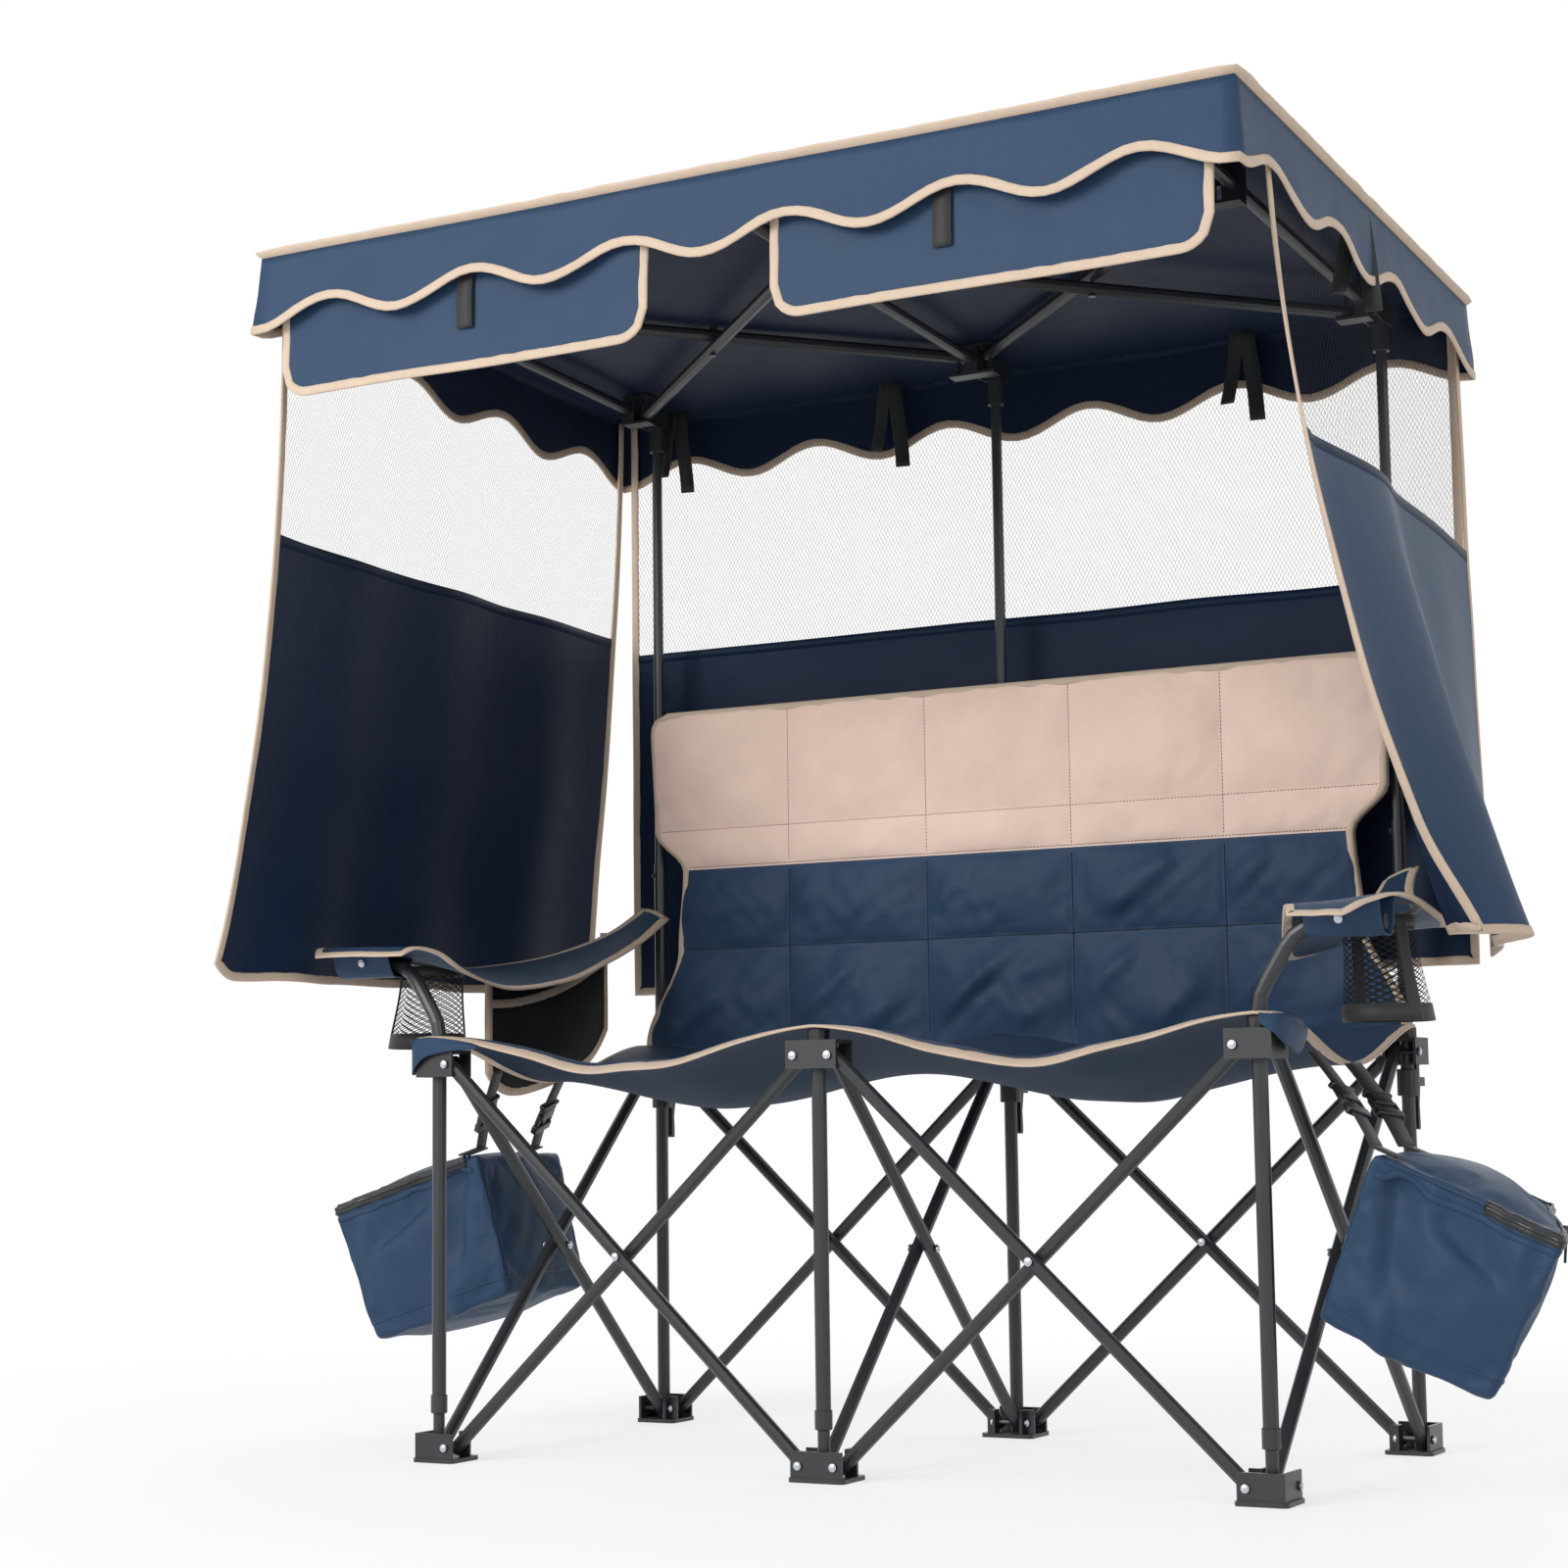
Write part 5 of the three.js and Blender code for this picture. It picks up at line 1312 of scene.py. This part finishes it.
class LOVESEAT_OT_cups(bpy.types.Operator):
    """Make the netted cup holders with their webbing bands"""

    bl_idname = "loveseat.cups"
    bl_label = "Cup Holders"

    def execute(self, context):
        for name, side in SIDES.items():
            self.cup(name, side)
        return {"FINISHED"}

    def cup(self, name, side):
        top = arm_height(side, CUP["x"], CUP["y"]) - 4
        foot = CUP["z"] - CUP["high"]

        def ring(radius, z, angles):
            x = CUP["x"] + CUP["swing"] * (top - z) / (top - foot)
            return [spot(side * (x + radius * math.cos(angle)), CUP["y"] + radius * math.sin(angle),
                         z) for angle in angles]

        def radius_at(z):
            share = (top - z) / (top - foot)
            return mix(CUP["top"], CUP["foot"] - 0.4, ease(share)) - 2.2 * math.sin(math.pi * share)

        whole = [2 * math.pi * share for share in shares(CUP_STEPS)[:-1]]
        wall = [ring(radius_at(z) - 1.0, z, whole)
                for z in (mix(top, foot + 1, share) for share in shares(16))]
        floor = [ring(mix(radius_at(foot) - 1.0, 4.0, share), foot + 1.0, whole)
                 for share in shares(6)[1:]]
        net = loft(f"cup_net_{name}", wall + floor, around=True)
        paint(net, "cup_net")

        def band(start, end, angles, around):
            steps = max(2, round(abs(end - start) / 8))
            rows = [ring(radius_at(z) - 0.6, z, angles)
                    for z in (mix(start, end, share) for share in shares(steps))]
            return apply_modifier(
                loft("band", rows, around), "SOLIDIFY", thickness=0.0018, offset=0.0)

        bands = [band(top, top - 12, whole, True), band(foot + 18, foot, whole, True)]
        for middle in (325, 145):
            angles = [math.radians(middle - 10 + 20 * share) for share in shares(8)]
            bands.append(band(top, foot, angles, False))
        straps = merge(bands, f"cup_bands_{name}")
        paint(straps, "webbing")
        for piece in (net, straps):
            fit(piece, f"front_{name}_hub")
        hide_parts(f"cup_holder_{name}")


def pocket_surface(out, start):
    """The pocket below the left sling: its flat back, or its swelling front that starts lower."""
    def surface(u, v):
        y = mix(*POCKET_Y, u)
        top = arm_height(-1, POCKET_X, y) - 4 - start
        bottom = POCKET_BOTTOM + POCKET_RISE * u ** 1.6 + POCKET_CORNER * abs(2 * u - 1) ** 5
        swell_out = out * math.sin(math.pi * u) * math.sin(math.pi * v) ** 1.3
        soft = 0.8 * ripple(y, mix(top, bottom, v), 60.0, 1.0)
        return (-POCKET_X + (POUCH_OFF if out else 0) + swell_out + soft, y, mix(top, bottom, v))
    return surface


class LOVESEAT_OT_pocket(bpy.types.Operator):
    """Make the side pocket with its bound edges and bound mouth"""

    bl_idname = "loveseat.pocket"
    bl_label = "Side Pocket"

    def execute(self, context):
        back, pouch = pocket_surface(0.0, 0.0), pocket_surface(5.0, 29.0)
        sheets = [cloth_sheet("pocket_back", 60, 40, back, (0.282, 0.15)),
                  cloth_sheet("pocket_pouch", 60, 34, pouch, (0.282, 0.12))]
        for sheet in sheets:
            thicken(sheet, sizes().cloth, "black_lining", "black_lining")
        tapes = [bind_sheet("pocket_binding", back, HUNG_SIDES, (24, 60, 24), half=0.0038),
                 bind_sheet("pocket_mouth_binding", pouch, ("front",), (60,))]
        for piece in sheets + tapes:
            fit(piece, "front_left_hub", FOLD_ARM)
        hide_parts("side_pocket")
        return {"FINISHED"}


# Cooler bags

def bag_frame(bag):
    """The matrix from a bag's own frame in metres to the row frame; its lid starts at x 0."""
    turn = Matrix.Rotation(math.radians(bag["tilt"]), 4, "Y")
    place = Matrix.Translation(Vector((bag["x"], bag["y"], bag["z"])) / 1000)
    flip = Matrix.Scale(bag["side"], 4, (1, 0, 0))
    return Matrix.Translation(MIDDLE) @ flip @ place @ turn


def bag_half(bag, z):
    """Half the bag's width and depth at a height below its lid, in millimetres."""
    share = 1 + BAG_TAPER * z / BAG_HIGH
    return bag["wide"] / 2 * share, BAG_DEEP / 2 * share


def bag_outline(bag, z, inset=0.0, corner=22.0, step=5.0):
    """Close points round the bag at a height below its lid, in the bag's own millimetres."""
    half_x, half_y = (half - inset - corner for half in bag_half(bag, z))
    points = []
    for quarter, (sx, sy) in enumerate(((1, 1), (-1, 1), (-1, -1), (1, -1))):
        for share in shares(8):
            angle = math.pi / 2 * (quarter + share)
            points.append(Vector((bag["wide"] / 2 + sx * half_x + corner * math.cos(angle),
                                  sy * half_y + corner * math.sin(angle), z)))
    dense = []
    for first, second in zip(points, points[1:] + points[:1]):
        count = max(1, round((second - first).length / step))
        dense += [first.lerp(second, k / count) for k in range(count)]
    return dense


def three_sides(outline, beyond, front_beyond=None):
    """The run of an outline along its front, outer and rear sides."""
    front_beyond = beyond if front_beyond is None else front_beyond
    kept = [point for point in outline if point.x > (front_beyond if point.y < 0 else beyond)]
    start = max(range(len(kept)), key=lambda k: (kept[k] - kept[k - 1]).length)
    return kept[start:] + kept[:start]


RIDGE = ((1.0, -0.7), (0.9, 0.6), (0.45, 1.0), (-0.45, 1.0), (-0.9, 0.6), (-1.0, -0.7))


def ridge(name, line, half, high, colour):
    """A low rounded strip along places and normals on a skin; sizes in millimetres."""
    rows = []
    last = len(line) - 1
    for k, (place, _) in enumerate(line):
        near = line[max(k - 2, 0):k + 3]
        up = sum((normal for _, normal in near), Vector()).normalized()
        along = (line[min(k + 1, last)][0] - line[max(k - 1, 0)][0]).normalized()
        side = along.cross(up).normalized()
        rows.append([place + side * (a * half / 1000) + up * (b * high / 1000) for a, b in RIDGE])
    return paint(loft(name, rows, around=True, ends=True), colour)


BAG_PRESSURE = 3.0
BAG_SLACK = 0.05
# Half widths and heights of the strips on a bag, in millimetres
ZIP_TAPE = (7.5, 1.6)
ZIP_COIL = (2.8, 3.6)
WELT = (4.0, 1.5)
FOOT_SEAM = (1.6, 1.0)
CORNER_SEAM = (1.4, 0.9)


class LOVESEAT_OT_bags(bpy.types.Operator):
    """Make the two soft cooler bags with zips, seams, straps and buckles"""

    bl_idname = "loveseat.bags"
    bl_label = "Cooler Bags"

    def execute(self, context):
        for name, bag in BAGS.items():
            place = bag_frame(bag)
            body = self.body(name, bag, place)
            skin = BVHTree.FromObject(body, context.evaluated_depsgraph_get())
            self.trim(name, bag, place, skin)
            self.straps(name, bag, place)
            fit(body, f"cooler_bag_{name}", None, (f"cooler_bag_{name}",))
        return {"FINISHED"}

    def body(self, name, bag, place):
        wide = bag["wide"]
        bpy.ops.object.select_all(action="DESELECT")
        bpy.ops.mesh.primitive_cube_add(size=1.0)
        body = bpy.context.object
        body.name = f"cooler_bag_{name}_cloth"
        for vertex in body.data.vertices:
            share = 1 - BAG_TAPER if vertex.co.z < 0 else 1.0
            vertex.co = Vector((wide / 2 + vertex.co.x * (wide - 12) * share,
                                vertex.co.y * (BAG_DEEP - 10) * share,
                                -BAG_HIGH / 2 + vertex.co.z * (BAG_HIGH - 8))) / 1000
        apply_modifier(body, "BEVEL", width=0.004, segments=2, limit_method="NONE")
        apply_modifier(body, "REMESH", mode="VOXEL", voxel_size=0.005)
        held = body.vertex_groups.new(name="sewn")
        for vertex in body.data.vertices:
            if max(abs(part) for part in vertex.normal) < 0.97:
                held.add([vertex.index], 1.0, "REPLACE")
        swell(body, BAG_PRESSURE, sizes().bag_puff, "sewn", BAG_SLACK)
        body.vertex_groups.clear()
        moves = [self.slump(vertex.co * 1000, vertex.normal.copy(), bag)
                 for vertex in body.data.vertices]
        for vertex, move in zip(body.data.vertices, moves):
            vertex.co += move / 1000
        body.data.transform(place)
        if bag["side"] < 0:
            body.data.flip_normals()
        apply_modifier(body, "SUBSURF", levels=1, render_levels=1)
        body.data.polygons.foreach_set("use_smooth", [True] * len(body.data.polygons))
        self.unwrap(body)
        return paint(body, "navy_oxford")

    def slump(self, p, way, bag):
        """How far the empty bag's cloth falls in or sags at a place, in millimetres."""
        across, down = clamp(p.x / bag["wide"]), clamp(-p.z / BAG_HIGH)
        behind = clamp(p.y / BAG_DEEP + 0.5)
        middle = math.sin(math.pi * down)
        crease = 2.2 * ripple(p.x + p.y, p.z - p.y, 38.0, 3.0 + bag["side"]) * middle
        dent = fold_line(across - mix(0.14, 0.38, down), 0.05, 0.16)
        tuck = fold_line(0.17 + 0.5 * (across - 0.36) - down, 0.05, 0.2)
        bulge = fold_line(across - mix(0.16, 0.4, down), 0.07, 0.05)
        pleat = -17.0 * dent * ease(down * 6) * ease((0.88 - down) / 0.35)
        pleat -= 14.0 * tuck * ease((across - 0.34) / 0.12) * ease((0.9 - across) / 0.25)
        pleat += 8.0 * bulge * ease((down - 0.55) / 0.3)
        gather = ease((across - 0.58) / 0.2) * ease((0.45 - down) / 0.25)
        pleat += 2.6 * math.sin(across * 40) * gather
        sag = 5.0 * ease(down) * math.sin(math.pi * across)
        lift = 13.0 * max(way.z, 0.0) * math.sin(math.pi * across) * math.sin(math.pi * behind)
        fall = Vector((-self.drawn_in(p, bag), 0, lift - sag))
        return way * (crease + pleat * max(-way.y, 0.0)) + fall

    def unwrap(self, body):
        """Box projected UVs in metres."""
        layer = body.data.uv_layers.active or body.data.uv_layers.new(name="UVMap")
        for polygon in body.data.polygons:
            normal = polygon.normal
            drop = max(range(3), key=lambda axis: abs(normal[axis]))
            keep = [axis for axis in range(3) if axis != drop]
            for loop in polygon.loop_indices:
                co = body.data.vertices[body.data.loops[loop].vertex_index].co
                layer.uv[loop].vector = (co[keep[0]], co[keep[1]])

    def trim(self, name, bag, place, skin):
        """Zip with its welts round the lid, a pull, and the panel seams."""
        def on_skin(path):
            moved = [point - Vector((self.drawn_in(point, bag), 0, 0)) for point in path]
            return [skin.find_nearest(place @ (point / 1000))[:2] for point in moved]

        zip_line = on_skin(three_sides(bag_outline(bag, -6.0), 24.0, bag["zip_from"]))
        parts = [ridge("zip", zip_line, *ZIP_TAPE, "zip_tape"),
                 ridge("coil", zip_line, *ZIP_COIL, "buckle_acetal")]
        parts.append(self.pull(zip_line[int(len(zip_line) * bag["pull_at"])]))
        fit(merge(parts, f"bag_zip_{name}"), f"cooler_bag_{name}")
        welts = []
        for z, inset in ((-1.0, 7.0), (-21.0, 0.0)):
            path = three_sides(bag_outline(bag, z, inset), 18.0)
            welts.append(ridge("welt", on_skin(path), *WELT, "navy_oxford"))
        foot = bag_outline(bag, BAG_SEAMS[1])
        welts.append(ridge("foot_seam", on_skin(foot + foot[:1]), *FOOT_SEAM, "navy_oxford"))
        for sx in (-1, 1):
            for sy in (-1, 1):
                path = []
                for share in shares(30):
                    z = mix(*BAG_SEAMS, share)
                    half_x, half_y = bag_half(bag, z)
                    path.append(Vector((bag["wide"] / 2 + sx * half_x, sy * half_y, z)))
                welts.append(ridge("corner_seam", on_skin(path), *CORNER_SEAM, "navy_oxford"))
        fit(merge(welts, f"bag_seams_{name}"), f"cooler_bag_{name}")

    def drawn_in(self, point, bag):
        """How far the bag's outer rear end is drawn in at a place."""
        return bag["drawn"] * ease(point.x / bag["wide"]) * ease(point.y / BAG_DEEP + 0.5)

    def pull(self, slider):
        """A copy of the zip slider with its tab hanging down."""
        place, up = slider
        down = Vector((0, 0, -1))
        down = (down - up * down.dot(up)).normalized()
        return copy_of(blocks("zip_pull", PULL_BLOCKS, 0.0009),
                       laid(place, down.cross(up), down, up), "pull")

    def straps(self, name, bag, place):
        side = bag["side"]
        lean = math.radians(bag["tilt"])
        pieces, buckles = [], []
        for end, (top_y, sewn_y) in zip((-1, 1), bag["straps"]):
            hem = min(seat_height(SEAT_HALF, top_y), PIVOT_Z["hub"] - 6)
            top = Vector((side * (SEAT_HALF + 2.2), top_y, hem))
            sewn = Vector((side * (bag["x"] + 4 * math.cos(lean)), sewn_y,
                           bag["z"] - 4 * math.sin(lean) + 2))
            twist = 0.55 if (side, end) == (1, 1) else 0.15
            points = []
            for share in shares(24):
                bow = Vector((side * 4 * math.sin(math.pi * share),
                              2 * math.sin(3 * share + end), 0))
                points.append(spot(*(top.lerp(sewn, share) + bow)))
            pieces.append(strap("strap", points, sizes().webbing, 0.0022, (twist * side, 1, 0)))
            lid = place.to_3x3() @ Vector((1, 0, 0))
            tab = [spot(*sewn) + lid * (step / 1000) for step in (-4, 6, 16, 26)]
            pieces.append(strap("tab", tab, sizes().webbing, 0.0026, (0, 1, 0)))
            buckles.append(self.buckle(points[8], points[16], Vector((twist * side, 1, 0))))
        fit(merge(pieces, f"bag_straps_{name}"), f"cooler_bag_{name}")
        fit(merge(buckles, f"bag_buckles_{name}"), f"cooler_bag_{name}")

    def buckle(self, top, bottom, across):
        """A copy of the side release buckle, between two places on its strap."""
        down = (bottom - top).normalized()
        across = (across - down * across.dot(down)).normalized()
        return copy_of(blocks("side_release_buckle", BUCKLE_BLOCKS, 0.0016),
                       laid((top + bottom) / 2, across, down, across.cross(down)), "buckle")


# Moulded and riveted fittings, each modelled once and copied

BUCKLE_BLOCKS = (
    ((0, -0.016, 0), (0.034, 0.006, 0.009)), ((0, -0.004, 0), (0.026, 0.02, 0.009)),
    ((0.0145, 0.006, 0), (0.005, 0.018, 0.006)), ((-0.0145, 0.006, 0), (0.005, 0.018, 0.006)),
    ((0, 0.011, 0), (0.008, 0.012, 0.005)), ((0, 0.021, 0), (0.034, 0.012, 0.0085)),
)
PULL_BLOCKS = (((0, 0, 0.004), (0.011, 0.012, 0.005)), ((0, 0.018, 0.0055), (0.007, 0.028, 0.002)))
PATTERNS = {}


def laid(place, across, along, up):
    """The matrix that lays a fitting at a place, by its three directions."""
    turn = Matrix((across.normalized(), along.normalized(), up.normalized())).transposed().to_4x4()
    return Matrix.Translation(place) @ turn


def turned(place, way):
    """The matrix that turns a fitting's own upward direction to a way out, at a place."""
    turn = Vector((0, 0, 1)).rotation_difference(way)
    return Matrix.Translation(place) @ turn.to_matrix().to_4x4()


def copy_of(pattern, matrix, name):
    """A copy of a modelled fitting with its own mesh, its place in the mesh."""
    mesh = pattern.copy()
    mesh.transform(matrix)
    piece = bpy.data.objects.new(name, mesh)
    bpy.context.scene.collection.objects.link(piece)
    return piece


def keep_pattern(name, piece):
    """Keeps a modelled fitting's mesh to copy, and takes its object away."""
    only(piece)
    bpy.ops.object.shade_smooth_by_angle(angle=math.radians(40))
    PATTERNS[name] = piece.data
    bpy.data.objects.remove(piece)
    return PATTERNS[name]


def blocks(name, places, bevel):
    """A moulding of blocks with rounded edges, given by their middles and sizes in metres."""
    if name in PATTERNS:
        return PATTERNS[name]
    parts = []
    for where, size in places:
        bpy.ops.object.select_all(action="DESELECT")
        bpy.ops.mesh.primitive_cube_add(size=1.0, location=where, scale=size)
        bpy.ops.object.transform_apply(location=True, rotation=True, scale=True)
        parts.append(apply_modifier(
            bpy.context.object, "BEVEL", width=bevel, segments=3, limit_method="NONE"))
    moulding = merge(parts, name)
    paint(moulding, "buckle_acetal")
    return keep_pattern(name, moulding)


def rivet_head():
    """A domed head with a thin washer rim, which stands over a CAD rivet."""
    if "rivet_head" in PATTERNS:
        return PATTERNS["rivet_head"]
    bpy.ops.object.select_all(action="DESELECT")
    bpy.ops.mesh.primitive_cylinder_add(
        vertices=24, radius=RIVET_OVER / 1000, depth=0.0012,
        location=(0, 0, RIVET_HIGH / 1000 + 0.0005))
    bpy.ops.object.transform_apply(location=True, rotation=True, scale=True)
    head = bpy.context.object
    bpy.ops.object.mode_set(mode="EDIT")
    shell = bmesh.from_edit_mesh(head.data)
    for face in shell.faces:
        face.select_set(face.normal.z > 0.9)
    bmesh.update_edit_mesh(head.data)
    bpy.ops.mesh.inset(thickness=0.0011)
    bpy.ops.mesh.extrude_region_move(TRANSFORM_OT_translate={"value": (0, 0, 0.0009)})
    bpy.ops.mesh.inset(thickness=0.0018)
    bpy.ops.transform.translate(value=(0, 0, 0.0005))
    bpy.ops.object.mode_set(mode="OBJECT")
    paint(head, "zinc_plate")
    return keep_pattern("rivet_head", head)


# Frame

class LOVESEAT_OT_frame(bpy.types.Operator):
    """Give the tubes, hubs, levers and sliders their finishes and zinc rivet heads"""

    bl_idname = "loveseat.frame"
    bl_label = "Frame"

    def execute(self, context):
        for name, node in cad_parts.items():
            if node.hide_render:
                continue
            plastic = name.endswith("_hub") or name.startswith(("clamp_lever", "canopy_slider"))
            chosen = finish("moulded_nylon" if plastic else "powder_coated_steel")
            for slot in node.material_slots:
                slot.material = chosen
        for body, heads in self.heads().items():
            rivets = [copy_of(rivet_head(), turned(spot(*place), Vector(way)), "rivet")
                      for place, way in heads]
            fit(merge(rivets, f"rivets_{body}"), body)
        return {"FINISHED"}

    def heads(self):
        """Rivet places and directions for each body that carries them."""
        found = {}
        crossing = (PIVOT_Z["leg"] + PIVOT_Z["hub"]) / 2
        off = LAYER + TUBE_R
        for row, y in ROWS.items():
            for column, x in COLUMNS.items():
                arms = [(way, 0) for name, way in SIDES.items() if name != column]
                arms.append((0, -1 if row == "back" else 1))
                for part, z in PIVOT_Z.items():
                    heads = []
                    for ax, ay in arms:
                        for way in (-1, 1):
                            aim = (way * abs(ay), way * abs(ax), 0)
                            heads.append(((x + ax * PIVOT_OUT + aim[0] * CHANNEL_OUT,
                                           y + ay * PIVOT_OUT + aim[1] * CHANNEL_OUT, z), aim))
                    found[f"{row}_{column}_{part}"] = heads
            for bay, start in (("left", -BAY), ("right", 0.0)):
                x = start + BAY / 2
                found[f"{row}_{bay}_rising"] = [
                    ((x, y - off - GAP, crossing), (0, -1, 0)), ((x, y + off, crossing), (0, 1, 0))]
        for column, x in COLUMNS.items():
            found[f"{column}_side_rising"] = [
                ((x + off + GAP, 0, crossing), (1, 0, 0)), ((x - off, 0, crossing), (-1, 0, 0))]
        return found


# Stage

CAMERA = {"place": (1559.0, -3187.0, 392.0), "yaw": 28.65, "pitch": 6.64, "roll": -0.71,
          "lens": 67.35, "sensor": 36.0}
SKY_LIGHT = 0.55  # strength of the white sky as a light; it shows at full strength
SOFTBOXES = {  # place and size in metres, power in watts
    "front_softbox": ((-2.0, -4.7, 2.7), 2.4, 190.0),
    "side_softbox": ((4.2, -2.2, 2.4), 2.6, 38.0),
    "back_softbox": ((-0.8, 4.4, 3.2), 2.6, 60.0),
}
LIGHT_AIM = Vector((0, 0, 0.7))
FLOOR_FADE = (0.6, 2.4)  # metres from the middle over which the floor fades to the background
FLOOR_WHITE = 0.68  # share of the background's white that the floor has near the object


class LOVESEAT_OT_stage(bpy.types.Operator):
    """Set the pale floor, the soft studio light and the camera"""

    bl_idname = "loveseat.stage"
    bl_label = "Stage"

    def execute(self, context):
        scene = context.scene
        scene.view_settings.view_transform = "Standard"
        bpy.ops.object.select_all(action="DESELECT")
        bpy.ops.mesh.primitive_plane_add(size=60.0, location=(0, 0, 0))
        floor = bpy.context.object
        floor.name = "studio_floor"
        self.floor_paint()
        paint(floor, "studio_floor_paint")
        world = bpy.data.worlds.new("studio")
        scene.world = world
        world.use_nodes = True
        sky = world.node_tree
        level = add_node(sky, "ShaderNodeMapRange", {
            "Value": self.looking(sky), "To Min": SKY_LIGHT, "To Max": 1.0})
        set_inputs(sky, sky.nodes["Background"], {
            "Color": linear("FFFFFF"), "Strength": level.outputs["Result"]})
        for name, (place, size, power) in SOFTBOXES.items():
            bpy.ops.object.light_add(type="AREA", location=place)
            lamp = bpy.context.object
            lamp.name = name
            lamp.data.size = size
            lamp.data.energy = power
            aim = LIGHT_AIM - Vector(place)
            lamp.rotation_euler = aim.to_track_quat("-Z", "Y").to_euler()
        self.camera(scene)
        return {"FINISHED"}

    def looking(self, tree):
        """One for rays that show the background: seen directly, in gloss or through a net."""
        rays = add_node(tree, "ShaderNodeLightPath").outputs
        shown = rays["Is Camera Ray"]
        for kind in ("Is Glossy Ray", "Is Transmission Ray"):
            most = add_node(tree, "ShaderNodeMath", {0: shown, 1: rays[kind]}, operation="MAXIMUM")
            shown = most.outputs[0]
        return shown

    def floor_paint(self):
        """Pale paint that keeps a soft shadow near the object and fades to the white background."""
        tree, shader = new_finish("studio_floor_paint", {
            "Roughness": 0.9, "Base Color": colours().floor})
        place = add_node(tree, "ShaderNodeTexCoord").outputs["Object"]
        away = add_node(tree, "ShaderNodeVectorMath", {0: place}, operation="LENGTH")
        fade = add_node(tree, "ShaderNodeMapRange", {
            "Value": away.outputs["Value"], "From Min": FLOOR_FADE[0], "From Max": FLOOR_FADE[1],
            "To Min": FLOOR_WHITE, "To Max": 1.0}, interpolation_type="SMOOTHSTEP")
        shown = add_node(tree, "ShaderNodeMath", {0: fade.outputs["Result"], 1: self.looking(tree)},
                         operation="MULTIPLY")
        white = add_node(tree, "ShaderNodeEmission", {"Color": linear("FFFFFF"), "Strength": 1.0})
        blend = add_node(tree, "ShaderNodeMixShader", {
            0: shown.outputs[0], 1: shader.outputs["BSDF"], 2: white.outputs["Emission"]})
        set_inputs(tree, tree.nodes["Material Output"], {"Surface": blend.outputs["Shader"]})

    def camera(self, scene):
        yaw, pitch, roll = (math.radians(CAMERA[key]) for key in ("yaw", "pitch", "roll"))
        flat_right = Vector((math.cos(yaw), math.sin(yaw), 0))
        ahead = Vector((-math.sin(yaw), math.cos(yaw), math.tan(pitch))).normalized()
        flat_up = flat_right.cross(ahead)
        right = flat_right * math.cos(roll) + flat_up * math.sin(roll)
        up = flat_up * math.cos(roll) - flat_right * math.sin(roll)
        bpy.ops.object.camera_add()
        camera = bpy.context.object
        camera.name = "photo_camera"
        camera.data.lens = CAMERA["lens"]
        camera.data.sensor_width = CAMERA["sensor"]
        turn = Matrix((right, up, -ahead)).transposed().to_4x4()
        camera.matrix_world = Matrix.Translation(spot(*CAMERA["place"])) @ turn
        scene.camera = camera


class LOVESEAT_PT_panel(bpy.types.Panel):
    """Shows the sizes, the colours and a button for each step that makes the loveseat"""

    bl_idname = "LOVESEAT_PT_panel"
    bl_label = "Loveseat"
    bl_space_type = "VIEW_3D"
    bl_region_type = "UI"
    bl_category = "Loveseat"

    def draw(self, context):
        column = self.layout.column()
        for group in (context.scene.loveseat_sizes, context.scene.loveseat_colours):
            for key in group.__annotations__:
                column.prop(group, key)
        for step in STEPS:
            column.operator(step)


CLASSES = (
    LoveseatSizes, LoveseatColours, LOVESEAT_OT_stage, LOVESEAT_OT_canopy, LOVESEAT_OT_walls,
    LOVESEAT_OT_seat, LOVESEAT_OT_backrest, LOVESEAT_OT_arms, LOVESEAT_OT_cups, LOVESEAT_OT_pocket,
    LOVESEAT_OT_bags, LOVESEAT_OT_frame, LOVESEAT_PT_panel,
)
STEPS = (
    "loveseat.stage", "loveseat.canopy", "loveseat.walls", "loveseat.seat", "loveseat.backrest",
    "loveseat.arms", "loveseat.cups", "loveseat.pocket", "loveseat.bags", "loveseat.frame",
)


def register():
    for item in CLASSES:
        bpy.utils.register_class(item)
    bpy.types.Scene.loveseat_sizes = bpy.props.PointerProperty(type=LoveseatSizes)
    bpy.types.Scene.loveseat_colours = bpy.props.PointerProperty(type=LoveseatColours)


def unregister():
    del bpy.types.Scene.loveseat_colours
    del bpy.types.Scene.loveseat_sizes
    for item in reversed(CLASSES):
        bpy.utils.unregister_class(item)


def main():
    register()
    for step in STEPS:
        group, name = step.split(".")
        getattr(getattr(bpy.ops, group), name)()


if __name__ == "__main__":
    main()
